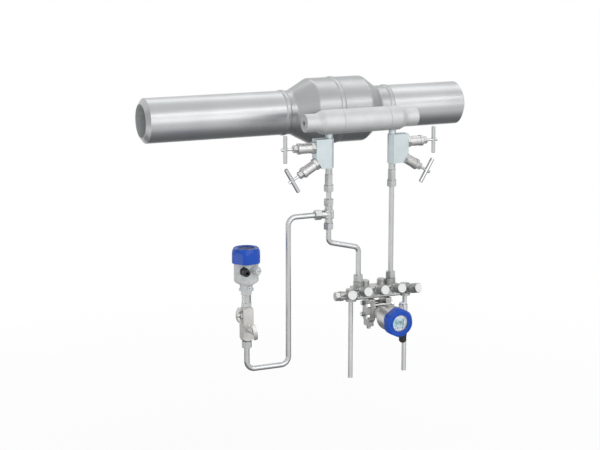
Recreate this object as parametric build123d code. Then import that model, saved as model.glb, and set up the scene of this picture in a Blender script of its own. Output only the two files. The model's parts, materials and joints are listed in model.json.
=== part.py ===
from build123d import *
import os
from math import atan2, cos, radians, sin, sqrt, tan

# Nozzle flowmeter: a weld-in meter run with a flow nozzle inside, a pair of condensate pots,
# two double block valves, impulse tubes, a five-valve manifold with drain valves,
# a differential pressure transmitter and a pressure transmitter on its own valve block.
# Millimetres. The origin is the centre of the upstream weld end, +X runs downstream
# along the pipe, -Y points at the side that carries the instruments, +Z is up.

# Meter run
pipe_outer_diameter = 133.0
pipe_wall = 17.0
inlet_pipe_length = 443.0
outlet_pipe_length = 257.0
body_diameter = 200.0
upstream_neck_length = 25.0
upstream_cone_length = 63.0
upstream_barrel_length = 77.0
downstream_barrel_length = 97.0
downstream_cone_length = 46.0
downstream_neck_length = 38.0
end_land = 2.5
end_bevel_length = 11.0
weld_root_gap = 3.0
weld_cap_width = 17.0
weld_cap_height = 2.2
body_edge_round = 14.0

# Flow nozzle, welded in between the two halves of the body
nozzle_throat_diameter = 62.0
nozzle_flange_diameter = 124.0
nozzle_flange_thickness = 14.0
nozzle_throat_length = 22.0
nozzle_wall = 6.0
nozzle_entry_radius = 18.0
nozzle_root_round = 4.0
nozzle_relief_depth = 1.5
nozzle_relief_margin = 4.0

# Pressure taps between the body and the pots
tap_offset = 46.0
tap_outer_diameter = 26.9
tap_wall = 5.0
tap_seat_depth = 6.0
tap_hole_diameter = 10.0

# Condensate pots, end to end, parallel to the pipe
pot_distance = 231.0
pot_diameter = 71.0
pot_wall = 7.0
pot_neck_diameter = 53.0
pot_neck_length = 38.0
pot_shoulder_length = 20.0
pot_shoulder_round = 14.0
upstream_pot_length = 191.5
downstream_pot_length = 169.5
pot_end_round = 1.5
pot_seam_offset = 75.0
pot_seam_width = 2.4
pot_seam_depth = 1.0
fill_plug_diameter = 18.0
fill_plug_length = 22.0
fill_plug_socket = 8.0
fill_plug_socket_depth = 9.0

# Stub pipes that hang the valve blocks under the pots
stub_diameter = 21.3
stub_wall = 3.2
stub_length = 12.5
stub_seat_depth = 4.0
upstream_stub_offset = 113.0
downstream_stub_offset = 93.0

# Double block valves
block_height = 86.0
block_reach = 46.6
block_back = 13.0
block_depth = 34.0
block_edge_chamfer = 11.0
block_edge_round = 1.2
block_corner_width = 18.2
block_corner_height = 31.0
block_passage_diameter = 10.0
upper_valve_drop = 25.0
bonnet_hex = 32.0
bonnet_hex_length = 11.4
bonnet_diameter = 30.0
bonnet_barrel_length = 32.0
bonnet_collar_diameter = 32.5
bonnet_collar_length = 11.0
bonnet_collar_chamfer = 2.0
bonnet_shank_diameter = 22.0
bonnet_shank_length = 14.0
packing_chamber_diameter = 14.4
packing_chamber_depth = 26.0
packing_height = 16.0
packing_nut_hex = 20.0
packing_nut_height = 13.0
packing_nut_shank_length = 8.0
stem_diameter = 8.0
stem_length = 128.0
stem_button_gap = 1.0
stem_tip_length = 8.0
stem_end_diameter = 9.6
stem_end_length = 5.0
t_bar_position = 91.4
t_bar_diameter = 12.5
t_bar_length = 80.0
t_bar_end_chamfer = 1.5

# Tube fittings
tube_diameter = 16.0
tube_wall = 2.0
fitting_nipple_length = 18.5
fitting_hex = 22.0
fitting_body_length = 31.5
spigot_diameter = 21.0
spigot_length = 12.0
nut_hex = 27.0
nut_height = 20.0
nut_start = 0.5
nut_thread_depth = 14.0
tube_seat_depth = 3.0
ring_thickness = 2.1
ring_length = 3.6
ring_edge = 0.3
ring_shoulder_length = 1.5

# Tee and impulse tubes
fitting_to_tee = 63.0
tee_arm = 25.0
tee_barrel_diameter = 24.0
tee_core = 27.0
tee_core_depth = 23.0
tee_core_round = 4.0
tube_bend_radius = 24.0
offset_bend_radius = 17.0
offset_bend_drop = 60.0
offset_slope_drop = 24.0
pressure_leg_offset = 129.0
pressure_loop_depth = 442.0
pressure_transmitter_offset = 261.0
pressure_transmitter_rise = 87.0
tee_to_manifold = 213.0

# Five-valve manifold
inlet_pitch = 108.0
manifold_length = 144.0
manifold_depth = 50.0
manifold_front = 31.0
manifold_height = 34.0
manifold_edge_chamfer = 3.0
inlet_boss_diameter = 30.0
inlet_boss_height = 16.0
manifold_plug_pitch = 54.0
manifold_plug_diameter = 26.0
manifold_plug_height = 15.0
manifold_plug_chamfer = 2.0
manifold_plug_shank_diameter = 16.0
manifold_plug_shank_length = 10.0
manifold_plug_setback = 9.0
manifold_valve_pitch = 55.5
manifold_valve_tilt = 14.0
manifold_valve_drop = 10.0
manifold_seat_recess = 5.0
seat_diameter = 32.0
head_shank_diameter = 18.0
head_shank_length = 10.0
head_hex = 27.0
head_hex_length = 9.0
head_neck_diameter = 25.0
head_length = 20.0
spindle_diameter = 8.0
spindle_reach = 12.0
knob_gap = 0.6
knob_diameter = 29.0
knob_length = 28.0
knob_edge_chamfer = 1.0
knob_first_groove = 2.5
knob_groove_pitch = 5.0
knob_groove_depth = 1.0
knob_groove_width = 2.0
knob_groove_count = 4

# Drain valves at the two ends of the manifold
drain_offset = 90.0
drain_setback = 6.0
drain_body_diameter = 33.0
drain_barrel_diameter = 30.0
drain_body_height = 36.0
drain_foot_height = 8.0
drain_arm_diameter = 25.0
drain_arm_outer_length = 27.0
drain_splay = 20.0
drain_seat_distance = 8.0
drain_plug_collar_diameter = 29.0
drain_plug_collar_length = 11.0
drain_plug_hex = 24.0
drain_plug_hex_length = 14.0
drain_plug_shank_diameter = 14.0
drain_plug_shank_length = 7.0
drain_tube_diameter = 14.0
drain_tube_wall = 2.0
drain_tube_seat_depth = 8.0
drain_spigot_diameter = 12.0
drain_tube_length = 245.0

# Differential pressure cell between two process flanges
flange_pitch = 54.0
flange_thickness = 18.0
flange_height = 85.0
flange_depth = 50.0
flange_setback = 19.0
flange_corner_chamfer = 9.0
flange_corner_round = 2.5
flange_foot_height = 14.0
cell_drop = 36.0
cell_diameter = 43.0
cell_waist_diameter = 36.0
cell_rim_length = 6.0
cell_rim_slope = 1.0
bolt_pitch_depth = 41.3
bolt_pitch_height = 35.0
bolt_diameter = 8.0
bolt_head_size = 13.0
bolt_head_length = 7.5
bolt_end_length = 3.0
vent_plug_diameter = 12.0
vent_plug_length = 9.0
vent_plug_shank_diameter = 8.0
vent_plug_shank_length = 10.0
cell_neck_diameter = 22.0
cell_neck_length = 26.5

# Differential pressure transmitter housing, its axis along -Y
dp_axis_drop = 42.5
dp_adapter_diameter = 44.0
dp_adapter_length = 24.0
dp_shoulder_length = 24.0
dp_housing_diameter = 77.0
dp_housing_length = 53.0
dp_cover_diameter = 86.0
dp_cover_dome = 7.0
dp_cover_length = 27.0
dp_cover_angle = 4.0
dp_thread_step = 1.5
dp_shoulder_round = 12.0
dp_neck_round = 5.0
dp_entry_offset = 34.0
dp_entry_setback = 24.0
dp_entry_diameter = 26.0
dp_entry_rise = 42.0
dp_entry_fall = 44.0

# Shared by both transmitter housings
housing_wall = 6.0
cover_overlap = 11.0
cover_running_gap = 0.06
cover_facets = 6
cover_facet_depth = 2.7
cover_rim_width = 12.0
cover_top_round = 2.5
cover_ring_width = 3.0
cover_channel_width = 6.5
cover_channel_depth = 1.2
cover_rib_width = 3.0
cover_boss_diameter = 13.0
cover_boss_hole_diameter = 6.0
cover_boss_hole_depth = 2.0
cover_edge_round_share = 0.6
window_diameter = 56.0
window_opening_diameter = 49.0
window_thickness = 6.0
window_ledge = 2.6
window_ring_space = 1.0
display_diameter = 58.0
display_thickness = 16.0
display_setback = 2.0
entry_bore_diameter = 16.0
entry_bore_depth = 16.0
gland_hex = 24.0
gland_hex_length = 7.0
gland_dome_diameter = 21.0
gland_length = 30.0
gland_hole_diameter = 9.0
gland_dome_height = 4.0
gland_lip_width = 2.0
blind_plug_diameter = 22.0
blind_plug_head = 5.0
blind_plug_chamfer = 1.0
blind_plug_slot_length = 15.4
blind_plug_slot_width = 2.6
blind_plug_slot_depth = 2.2
entry_shank_length = 12.0

# Pressure transmitter housing, its axis along Z
pt_housing_diameter = 72.0
pt_housing_height = 57.0
pt_shoulder_height = 10.0
pt_neck_diameter = 38.0
pt_neck_height = 18.0
pt_cover_diameter = 86.0
pt_cover_height = 42.0
pt_cover_dome = 15.0
pt_cover_angle = 96.0
pt_thread_step = 1.0
pt_shoulder_round = 9.0
pt_housing_neck_round = 4.0
pt_entry_drop = 18.0
pt_entry_diameter = 26.0
pt_entry_root = 18.0
pt_gland_offset = 22.0
pt_gland_reach = 36.0
pt_plug_turn = 17.0
pt_plug_reach = 52.0
pt_screw_boss_diameter = 11.0
pt_screw_boss_reach = 24.0
pt_screw_rise = 11.0
pt_screw_socket_diameter = 5.0
pt_screw_socket_depth = 3.0
pt_lug_span = 42.0
pt_lug_width = 12.0
pt_lug_height = 6.0
pt_lug_turn = -23.0

# Adapter and valve block under the pressure transmitter
adapter_upper_hex = 30.0
adapter_upper_hex_height = 12.0
adapter_sleeve_diameter = 27.0
adapter_sleeve_height = 23.0
adapter_lower_hex = 28.0
adapter_lower_hex_height = 12.0
adapter_shank_diameter = 16.0
adapter_shank_length = 12.0
adapter_bore_diameter = 6.0
pt_block_width = 32.0
pt_block_height = 104.0
pt_block_corner_diameter = 46.0
pt_block_end_height = 9.0
pt_block_end_inset = 3.0
handle_upper_drop = 25.0
handle_lower_drop = 63.0
upper_bonnet_length = 6.0
lower_bonnet_length = 45.0
pt_bonnet_hex = 22.0
pt_bonnet_hex_length = 5.0
pt_bonnet_diameter = 18.0
pt_bonnet_shank_diameter = 14.0
pt_bonnet_shank_length = 10.0
handle_spindle_diameter = 6.0
handle_spindle_depth = 14.0
handle_hub_diameter = 14.0
handle_lever_rise = 10.0
handle_lever_length = 46.0
handle_lever_bow = 8.0
handle_lever_thickness = 4.0
handle_lever_width = 11.0
handle_lever_round = 1.5
upper_handle_turn = 0.0
lower_handle_turn = 9.0

# Shared by all hexagons
hexagon_face_share = 0.97
hexagon_chamfer_angle = 30.0

# Clearances
slip_clearance = 0.10
running_clearance = 0.05
free_clearance = 0.50

# Places along the pipe
bore_radius = pipe_outer_diameter / 2 - pipe_wall
pipe_radius = pipe_outer_diameter / 2
body_radius = body_diameter / 2
upstream_cone_x = inlet_pipe_length + upstream_neck_length
upstream_barrel_x = upstream_cone_x + upstream_cone_length
nozzle_x = upstream_barrel_x + upstream_barrel_length
downstream_cone_x = nozzle_x + downstream_barrel_length
downstream_neck_x = downstream_cone_x + downstream_cone_length
outlet_weld_x = downstream_neck_x + downstream_neck_length
outlet_end_x = outlet_weld_x + outlet_pipe_length

# Places of the pots, stubs and valve blocks
pot_radius = pot_diameter / 2
upstream_stub_x = nozzle_x - upstream_stub_offset
downstream_stub_x = nozzle_x + downstream_stub_offset
block_top_z = -pot_radius - stub_length
block_bottom_z = block_top_z - block_height
fitting_face_z = block_bottom_z - fitting_nipple_length - fitting_body_length

# Places of the tee, the manifold and the two instruments
tee_top_z = fitting_face_z - fitting_to_tee
tee_z = tee_top_z - tee_arm
tee_bottom_z = tee_z - tee_arm
manifold_x = downstream_stub_x - inlet_pitch / 2
inlet_face_z = tee_z - tee_to_manifold
manifold_top_z = inlet_face_z - inlet_boss_height
manifold_bottom_z = manifold_top_z - manifold_height
manifold_front_y = -pot_distance - manifold_front
pressure_leg_x = upstream_stub_x - pressure_leg_offset
pressure_loop_z = tee_z - pressure_loop_depth
pt_x = upstream_stub_x - pressure_transmitter_offset
pt_block_bottom_z = pressure_loop_z + pressure_transmitter_rise
pt_block_top_z = pt_block_bottom_z + pt_block_height
cell_y = -pot_distance - flange_setback
cell_z = manifold_bottom_z - cell_drop
dp_axis_z = manifold_bottom_z - dp_axis_drop

downward = (0, 0, -1)
upward = (0, 0, 1)
frontward = (0, -1, 0)
downstream = (1, 0, 0)
upstream = (-1, 0, 0)


def turned(corners, rounds=()):
    """Turn (radius, height) corners about Z; rounds are (corner number, radius) pairs."""
    sketch = make_face(Polyline(*corners, close=True))
    for number, radius in rounds:
        corner = sketch.vertices().sort_by_distance((*corners[number], 0))[0]
        sketch = fillet(corner, radius)
    return revolve(Rot(90, 0, 0) * sketch, Axis.Z)


def rod(diameter, low, high):
    """A plain cylinder on Z between two heights."""
    upward_from_base = (Align.CENTER, Align.CENTER, Align.MIN)
    return Pos(0, 0, low) * Cylinder(diameter / 2, high - low, align=upward_from_base)


def chamfered_rod(diameter, low, high, size):
    """A cylinder on Z whose upper edge is chamfered."""
    radius = diameter / 2
    return turned([(0, low), (radius, low), (radius, high - size), (radius - size, high), (0, high)])


def hexagon(across_flats, low, high, chamfer_low=False, chamfer_high=False):
    """A hexagonal bar on Z, with the corners of either end turned off at a slope."""
    corner_radius = across_flats / sqrt(3)
    face_radius = across_flats / 2 * hexagon_face_share
    slope = (corner_radius - face_radius) * tan(radians(hexagon_chamfer_angle))
    low_drop = slope if chamfer_low else 0.0
    high_drop = slope if chamfer_high else 0.0
    low_radius = face_radius if chamfer_low else corner_radius + 1
    high_radius = face_radius if chamfer_high else corner_radius + 1
    bar = extrude(Pos(0, 0, low) * RegularPolygon(across_flats / 2, 6, major_radius=False), high - low)
    corners = [(0, low), (low_radius, low), (corner_radius + 0.01, low + low_drop)]
    corners += [(corner_radius + 0.01, high - high_drop), (high_radius, high), (0, high)]
    if not (chamfer_low or chamfer_high):
        return bar
    return bar & turned(corners)


def placed(piece, at, toward, across=None):
    """Move a piece modelled on Z to a point, with its Z axis along a direction."""
    return Plane(origin=at, x_dir=across, z_dir=toward).location * piece


def on_pipe(piece):
    """Lay a piece modelled on Z along the pipe axis."""
    return placed(piece, (0, 0, 0), downstream, (0, 1, 0))


def point_along(start, direction, distance):
    """The point at a distance from start along a direction."""
    way = Vector(*direction).normalized()
    return (Vector(*start) + way * distance).to_tuple()


def bent_tube(diameter, wall, points, radius):
    """A tube along straight runs joined by arcs of one radius."""
    path = FilletPolyline(*points, radius=radius)
    section = Circle(diameter / 2) - Circle(diameter / 2 - wall)
    return sweep(Plane(origin=path @ 0, z_dir=path % 0) * section, path=path)


# Meter run
def end_bevel(weld_x, side):
    """Outer corners of a pipe end that is bevelled for a weld at weld_x."""
    root = weld_x + side * weld_root_gap / 2
    shoulder = weld_x + side * weld_cap_width / 2
    return [(bore_radius, root), (bore_radius + end_land, root), (pipe_radius, shoulder)]


def inlet_pipe():
    corners = [(bore_radius, 0), (bore_radius + end_land, 0), (pipe_radius, end_bevel_length)]
    corners += reversed(end_bevel(inlet_pipe_length, -1))
    return on_pipe(turned(corners))


def outlet_pipe():
    corners = end_bevel(outlet_weld_x, 1)
    corners += [(pipe_radius, outlet_end_x - end_bevel_length), (bore_radius + end_land, outlet_end_x)]
    corners += [(bore_radius, outlet_end_x)]
    return on_pipe(turned(corners))


def tap_hole(x):
    """Drilling from the bore to a tap, with the seat of the tap pipe."""
    drill = rod(tap_hole_diameter, 0, body_radius + 1)
    seat = rod(tap_outer_diameter + 2 * slip_clearance, body_radius - tap_seat_depth, body_radius + 1)
    return placed(drill + seat, (x, 0, 0), frontward)


def body_half(side, weld_x, neck_x, cone_x, tap_x):
    """One half of the body, from its weld end to the nozzle plane."""
    recess_radius = nozzle_flange_diameter / 2 + slip_clearance
    recess_x = nozzle_x + side * nozzle_flange_thickness / 2
    root = nozzle_x + side * weld_root_gap / 2
    corners = end_bevel(weld_x, -side)
    corners += [(pipe_radius, neck_x), (body_radius, cone_x)]
    corners += [(body_radius, nozzle_x + side * weld_cap_width / 2)]
    corners += [(recess_radius + end_land + pipe_wall, root), (recess_radius, root)]
    corners += [(recess_radius, recess_x), (bore_radius, recess_x)]
    shell = on_pipe(turned(corners, [(4, body_edge_round), (3, body_edge_round)]))
    return shell - tap_hole(tap_x)


def weld_ring(x, root_radius, outer_radius, land):
    """A filled vee weld with a raised cap."""
    half_cap = weld_cap_width / 2
    half_root = weld_root_gap / 2
    crown = outer_radius + weld_cap_height
    corners = [(root_radius, x - half_root), (root_radius + land, x - half_root)]
    corners += [(outer_radius, x - half_cap), (crown, x - half_cap / 2)]
    corners += [(crown, x + half_cap / 2), (outer_radius, x + half_cap)]
    corners += [(root_radius + land, x + half_root), (root_radius, x + half_root)]
    return on_pipe(turned(corners, [(3, half_cap / 2), (4, half_cap / 2)]))


def weld_seams():
    recess_radius = nozzle_flange_diameter / 2 + slip_clearance
    ends = [weld_ring(x, bore_radius, pipe_radius, end_land) for x in (inlet_pipe_length, outlet_weld_x)]
    return ends + [weld_ring(nozzle_x, recess_radius, body_radius, end_land + pipe_wall)]


def nozzle_outlet_x():
    return nozzle_x - nozzle_flange_thickness / 2 + nozzle_entry_radius + nozzle_throat_length


def nozzle_relief():
    """The wider stretch of the downstream bore round the outlet of the nozzle."""
    end = nozzle_outlet_x() + nozzle_relief_margin
    return on_pipe(rod(2 * (bore_radius + nozzle_relief_depth), nozzle_x, end))


def flow_nozzle():
    """A flange with a quarter-round entry and a straight throat."""
    half = nozzle_flange_thickness / 2
    throat = nozzle_throat_diameter / 2
    rim = nozzle_flange_diameter / 2
    outlet = nozzle_outlet_x() - nozzle_x
    corners = [(throat, -half), (rim, -half), (rim, half), (throat + nozzle_wall, half)]
    corners += [(throat + nozzle_wall, outlet), (throat, outlet)]
    nozzle = turned(corners, [(0, nozzle_entry_radius), (3, nozzle_root_round)])
    return placed(nozzle, (nozzle_x, 0, 0), downstream, (0, 1, 0))


def tap_places():
    return (nozzle_x - tap_offset, nozzle_x + tap_offset)


def pressure_taps():
    """Pipes that join the body to the pots."""
    start = body_radius - tap_seat_depth
    end = pot_distance - pot_radius + tap_seat_depth
    pipe = rod(tap_outer_diameter, start, end) - rod(tap_outer_diameter - 2 * tap_wall, start - 1, end + 1)
    return [placed(pipe, (x, 0, 0), frontward) for x in tap_places()]


# Condensate pots
def pot(side, length, tap_x, stub_x):
    """A closed pot that starts at the nozzle plane and narrows to a neck."""
    neck_radius = pot_neck_diameter / 2
    shoulder = length - pot_neck_length - pot_shoulder_length
    neck = length - pot_neck_length
    outer = [(0, 0), (pot_radius, 0), (pot_radius, shoulder)]
    outer += [(neck_radius, neck), (neck_radius, length), (0, length)]
    shell = turned(outer, [(2, pot_shoulder_round), (3, pot_shoulder_round), (4, pot_end_round)])
    inner = pot_radius - pot_wall
    plug_start = length - fill_plug_length
    plug_radius = fill_plug_diameter / 2 + slip_clearance
    hollow = [(0, pot_wall), (inner, pot_wall), (inner, shoulder), (plug_radius, plug_start)]
    hollow += [(plug_radius, length + 1), (0, length + 1)]
    half_seam = pot_seam_width / 2
    seam = [(pot_radius + 1, pot_seam_offset - half_seam), (pot_radius - pot_seam_depth, pot_seam_offset)]
    seam += [(pot_radius + 1, pot_seam_offset + half_seam)]
    body = shell - turned(hollow, [(2, pot_shoulder_round)]) - turned(seam)
    body = placed(body, (nozzle_x, -pot_distance, 0), (side, 0, 0), (0, 1, 0))
    tap = rod(tap_outer_diameter + 2 * slip_clearance, 0, pot_radius + 1)
    stub = rod(stub_diameter + 2 * slip_clearance, 0, pot_radius + 1)
    body -= placed(tap, (tap_x, -pot_distance, 0), (0, 1, 0))
    return body - placed(stub, (stub_x, -pot_distance, 0), downward)


def fill_plug(x, side):
    socket = extrude(RegularPolygon(fill_plug_socket / 2, 6, major_radius=False), -fill_plug_socket_depth)
    plug = rod(fill_plug_diameter, -fill_plug_length, 0) - socket
    return placed(plug, (x, -pot_distance, 0), (side, 0, 0), (0, 1, 0))


def stub_pipe(x):
    top = -pot_radius + stub_seat_depth
    pipe = rod(stub_diameter, block_top_z, top)
    pipe -= rod(stub_diameter - 2 * stub_wall, block_top_z - 1, top + 1)
    return Pos(x, -pot_distance, 0) * pipe


# Double block valves
def valve_seats(stub_x, side):
    """Origin and outward direction of the two valves of a block; side points away from the stub."""
    face_x = stub_x + side * block_reach
    upper = (face_x, -pot_distance, block_top_z - upper_valve_drop)
    corner_x = face_x - side * block_corner_width / 2
    lower = (corner_x, -pot_distance, block_bottom_z + block_corner_height / 2)
    tilt = atan2(block_corner_width, block_corner_height)
    return [(upper, (side, 0, 0)), (lower, (side * cos(tilt), 0, -sin(tilt)))]


def valve_block(stub_x, side):
    """A slab with one corner cut square to the lower valve and a slender back edge."""
    half = block_depth / 2
    face = block_reach
    back = -block_back
    edge = back + block_edge_chamfer
    plan = [(face, half), (face, -half), (edge, -half), (back, -half + block_edge_chamfer)]
    plan += [(back, half - block_edge_chamfer), (edge, half)]
    slab = extrude(make_face(Polyline(*plan, close=True)), block_height)
    slab = fillet(slab.edges().filter_by(Axis.Z), block_edge_round)
    corner = [(face + 1, -1), (face + 1, block_corner_height * (1 + 1 / block_corner_width))]
    corner += [(face - block_corner_width * (1 + 1 / block_corner_height), -1)]
    cut = extrude(Plane.XZ * make_face(Polyline(*corner, close=True)), block_depth, both=True)
    slab = slab - cut - rod(block_passage_diameter, -1, block_height + 1)
    if side < 0:
        slab = mirror(slab, Plane.YZ)
    block = Pos(stub_x, -pot_distance, block_bottom_z) * slab
    for seat, direction in valve_seats(stub_x, side):
        bore = rod(bonnet_shank_diameter + 2 * slip_clearance, -bonnet_shank_length, 1)
        bore += rod(stem_diameter + 2 * free_clearance, -block_reach, 1)
        block -= placed(bore, seat, direction)
    return block


def bonnet():
    """Hexagon, barrel and collar over a threaded shank, bored for the stem and its packing."""
    barrel_top = bonnet_hex_length + bonnet_barrel_length
    top = barrel_top + bonnet_collar_length
    piece = hexagon(bonnet_hex, 0, bonnet_hex_length, chamfer_high=True)
    piece += rod(bonnet_shank_diameter, -bonnet_shank_length, 0)
    piece += rod(bonnet_diameter, bonnet_hex_length, barrel_top)
    piece += chamfered_rod(bonnet_collar_diameter, barrel_top, top, bonnet_collar_chamfer)
    piece -= rod(stem_diameter + 2 * running_clearance, -bonnet_shank_length - 1, top)
    return piece - rod(packing_chamber_diameter, top - packing_chamber_depth, top + 1)


def bonnet_top():
    return bonnet_hex_length + bonnet_barrel_length + bonnet_collar_length


def packing_nut():
    top = bonnet_top()
    piece = hexagon(packing_nut_hex, top, top + packing_nut_height, chamfer_high=True)
    piece += rod(packing_chamber_diameter - 2 * slip_clearance, top - packing_nut_shank_length, top)
    low = top - packing_nut_shank_length
    return piece - rod(stem_diameter + 2 * running_clearance, low - 1, top + packing_nut_height + 1)


def stem_packing():
    low = bonnet_top() - packing_chamber_depth
    piece = rod(packing_chamber_diameter - 2 * slip_clearance, low, low + packing_height)
    return piece - rod(stem_diameter + 2 * slip_clearance, low - 1, low + packing_height + 1)


def valve_stem():
    """A round stem with a coned tip inside the block and a button that keeps the bar on."""
    high = t_bar_position + t_bar_diameter / 2 + stem_button_gap + stem_end_length
    low = high - stem_length
    radius = stem_diameter / 2
    button = high - stem_end_length
    corners = [(0, low), (radius / 2, low), (radius, low + stem_tip_length), (radius, button)]
    corners += [(stem_end_diameter / 2, button), (stem_end_diameter / 2, high), (0, high)]
    return turned(corners)


def t_bar():
    """A round cross bar with a hole for the stem."""
    half = t_bar_length / 2
    radius = t_bar_diameter / 2
    corners = [(0, -half), (radius - t_bar_end_chamfer, -half), (radius, -half + t_bar_end_chamfer)]
    corners += [(radius, half - t_bar_end_chamfer), (radius - t_bar_end_chamfer, half), (0, half)]
    bar = Pos(0, 0, t_bar_position) * Rot(0, 90, 0) * turned(corners)
    hole = rod(stem_diameter + 2 * slip_clearance, t_bar_position - radius - 1, t_bar_position + radius + 1)
    return bar - hole


# Tube fittings, modelled outward from the face that the nut closes on
def spigot():
    return rod(spigot_diameter, 0, spigot_length)


def tube_socket():
    """The hole that takes the end of a tube."""
    return rod(tube_diameter + 2 * slip_clearance, -tube_seat_depth, spigot_length + 1)


def compression_nut():
    top = nut_start + nut_height
    piece = hexagon(nut_hex, nut_start, top, chamfer_low=True, chamfer_high=True)
    thread = spigot_diameter / 2 + 2 * slip_clearance
    hole = tube_diameter / 2 + 2 * slip_clearance
    inside = [(0, nut_start - 1), (thread, nut_start - 1), (thread, nut_thread_depth)]
    inside += [(hole, nut_thread_depth + ring_thickness + slip_clearance), (hole, top + 1), (0, top + 1)]
    return piece - turned(inside)


def cutting_ring():
    low = spigot_length + slip_clearance
    inner = tube_diameter / 2 + slip_clearance / 2
    outer = inner + ring_thickness
    corners = [(inner, low), (outer, low), (outer, low + ring_shoulder_length)]
    corners += [(inner + ring_edge, low + ring_length), (inner, low + ring_length)]
    return turned(corners)


def connections():
    """Face and outward direction of every tube connection."""
    places = [((upstream_stub_x, -pot_distance, fitting_face_z), downward)]
    places += [((downstream_stub_x, -pot_distance, fitting_face_z), downward)]
    places += [((upstream_stub_x, -pot_distance, tee_top_z), upward)]
    places += [((upstream_stub_x, -pot_distance, tee_bottom_z), downward)]
    places += [((upstream_stub_x - tee_arm, -pot_distance, tee_z), upstream)]
    places += [((manifold_x - inlet_pitch / 2, -pot_distance, inlet_face_z), upward)]
    places += [((manifold_x + inlet_pitch / 2, -pot_distance, inlet_face_z), upward)]
    places += [((pt_x, -pot_distance, pt_block_bottom_z), downward)]
    return places


def level_across(direction):
    """A level side direction, at right angles to a direction that leans."""
    return (-direction[1], direction[0], 0)


def across_for(direction):
    """A side direction that turns a hexagon flat to the front."""
    return (0, 1, 0) if direction[0] else (1, 0, 0)


def weld_fitting(x):
    """A nipple welded under the block, a hexagonal body and a threaded spigot."""
    nipple = rod(stub_diameter, -fitting_body_length - fitting_nipple_length, -fitting_body_length)
    piece = nipple + hexagon(fitting_hex, -fitting_body_length, 0, chamfer_low=True) + spigot()
    bore = rod(block_passage_diameter, -fitting_body_length - fitting_nipple_length - 1, 1)
    return placed(piece - tube_socket() - bore, (x, -pot_distance, fitting_face_z), downward, (1, 0, 0))


def tee_body():
    """A forged tee with three threaded spigots."""
    centre = (upstream_stub_x, -pot_distance, tee_z)
    core = fillet(Box(tee_core, tee_core_depth, tee_core).edges(), tee_core_round)
    arm = rod(tee_barrel_diameter, 0, tee_arm) + Pos(0, 0, tee_arm) * spigot()
    hole = rod(tube_diameter - 2 * tube_wall, 0, tee_arm) + Pos(0, 0, tee_arm) * tube_socket()
    solid = Pos(*centre) * core
    ways = (upward, downward, upstream)
    for way in ways:
        solid += placed(arm, centre, way)
    for way in ways:
        solid -= placed(hole, centre, way)
    return solid


# Impulse tubes
def upstream_tube():
    low = tee_top_z - tube_seat_depth
    high = fitting_face_z + tube_seat_depth
    pipe = rod(tube_diameter, low, high) - rod(tube_diameter - 2 * tube_wall, low - 1, high + 1)
    return Pos(upstream_stub_x, -pot_distance, 0) * pipe


def downstream_tube():
    low = inlet_face_z - tube_seat_depth
    high = fitting_face_z + tube_seat_depth
    pipe = rod(tube_diameter, low, high) - rod(tube_diameter - 2 * tube_wall, low - 1, high + 1)
    return Pos(downstream_stub_x, -pot_distance, 0) * pipe


def manifold_tube():
    """From the tee down, over to the manifold inlet and down again."""
    inlet_x = manifold_x - inlet_pitch / 2
    first_z = tee_bottom_z - offset_bend_drop
    points = [(upstream_stub_x, tee_bottom_z + tube_seat_depth), (upstream_stub_x, first_z)]
    points += [(inlet_x, first_z - offset_slope_drop), (inlet_x, inlet_face_z - tube_seat_depth)]
    corners = [(x, -pot_distance, z) for x, z in points]
    return bent_tube(tube_diameter, tube_wall, corners, offset_bend_radius)


def pressure_tube():
    """From the tee's branch down a long leg and up under the pressure transmitter."""
    points = [(upstream_stub_x - tee_arm + tube_seat_depth, tee_z), (pressure_leg_x, tee_z)]
    points += [(pressure_leg_x, pressure_loop_z), (pt_x, pressure_loop_z)]
    points += [(pt_x, pt_block_bottom_z + tube_seat_depth)]
    corners = [(x, -pot_distance, z) for x, z in points]
    return bent_tube(tube_diameter, tube_wall, corners, tube_bend_radius)


# Manifold
def head_seats():
    """Seat centre and outward direction of the five manifold valves, from left to right."""
    tilt = radians(manifold_valve_tilt)
    seats = []
    for number in (-2, -1, 0, 1, 2):
        if abs(number) == 2:
            side = number / 2
            splay = radians(drain_splay)
            way = (side * sin(splay) * cos(tilt), -cos(splay) * cos(tilt), sin(tilt))
            seat = point_along(drain_centre(side), way, drain_seat_distance)
        else:
            way = (0, -cos(tilt), sin(tilt))
            x = manifold_x + number * manifold_valve_pitch
            front = (x, manifold_front_y, manifold_top_z - manifold_valve_drop)
            seat = point_along(front, way, -manifold_seat_recess)
        seats.append((seat, way))
    return seats


def drain_centre(side):
    """Centre of a drain valve body; side is -1 upstream and 1 downstream."""
    z = (manifold_top_z + manifold_bottom_z) / 2
    return (manifold_x + side * drain_offset, manifold_front_y + drain_setback, z)


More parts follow.
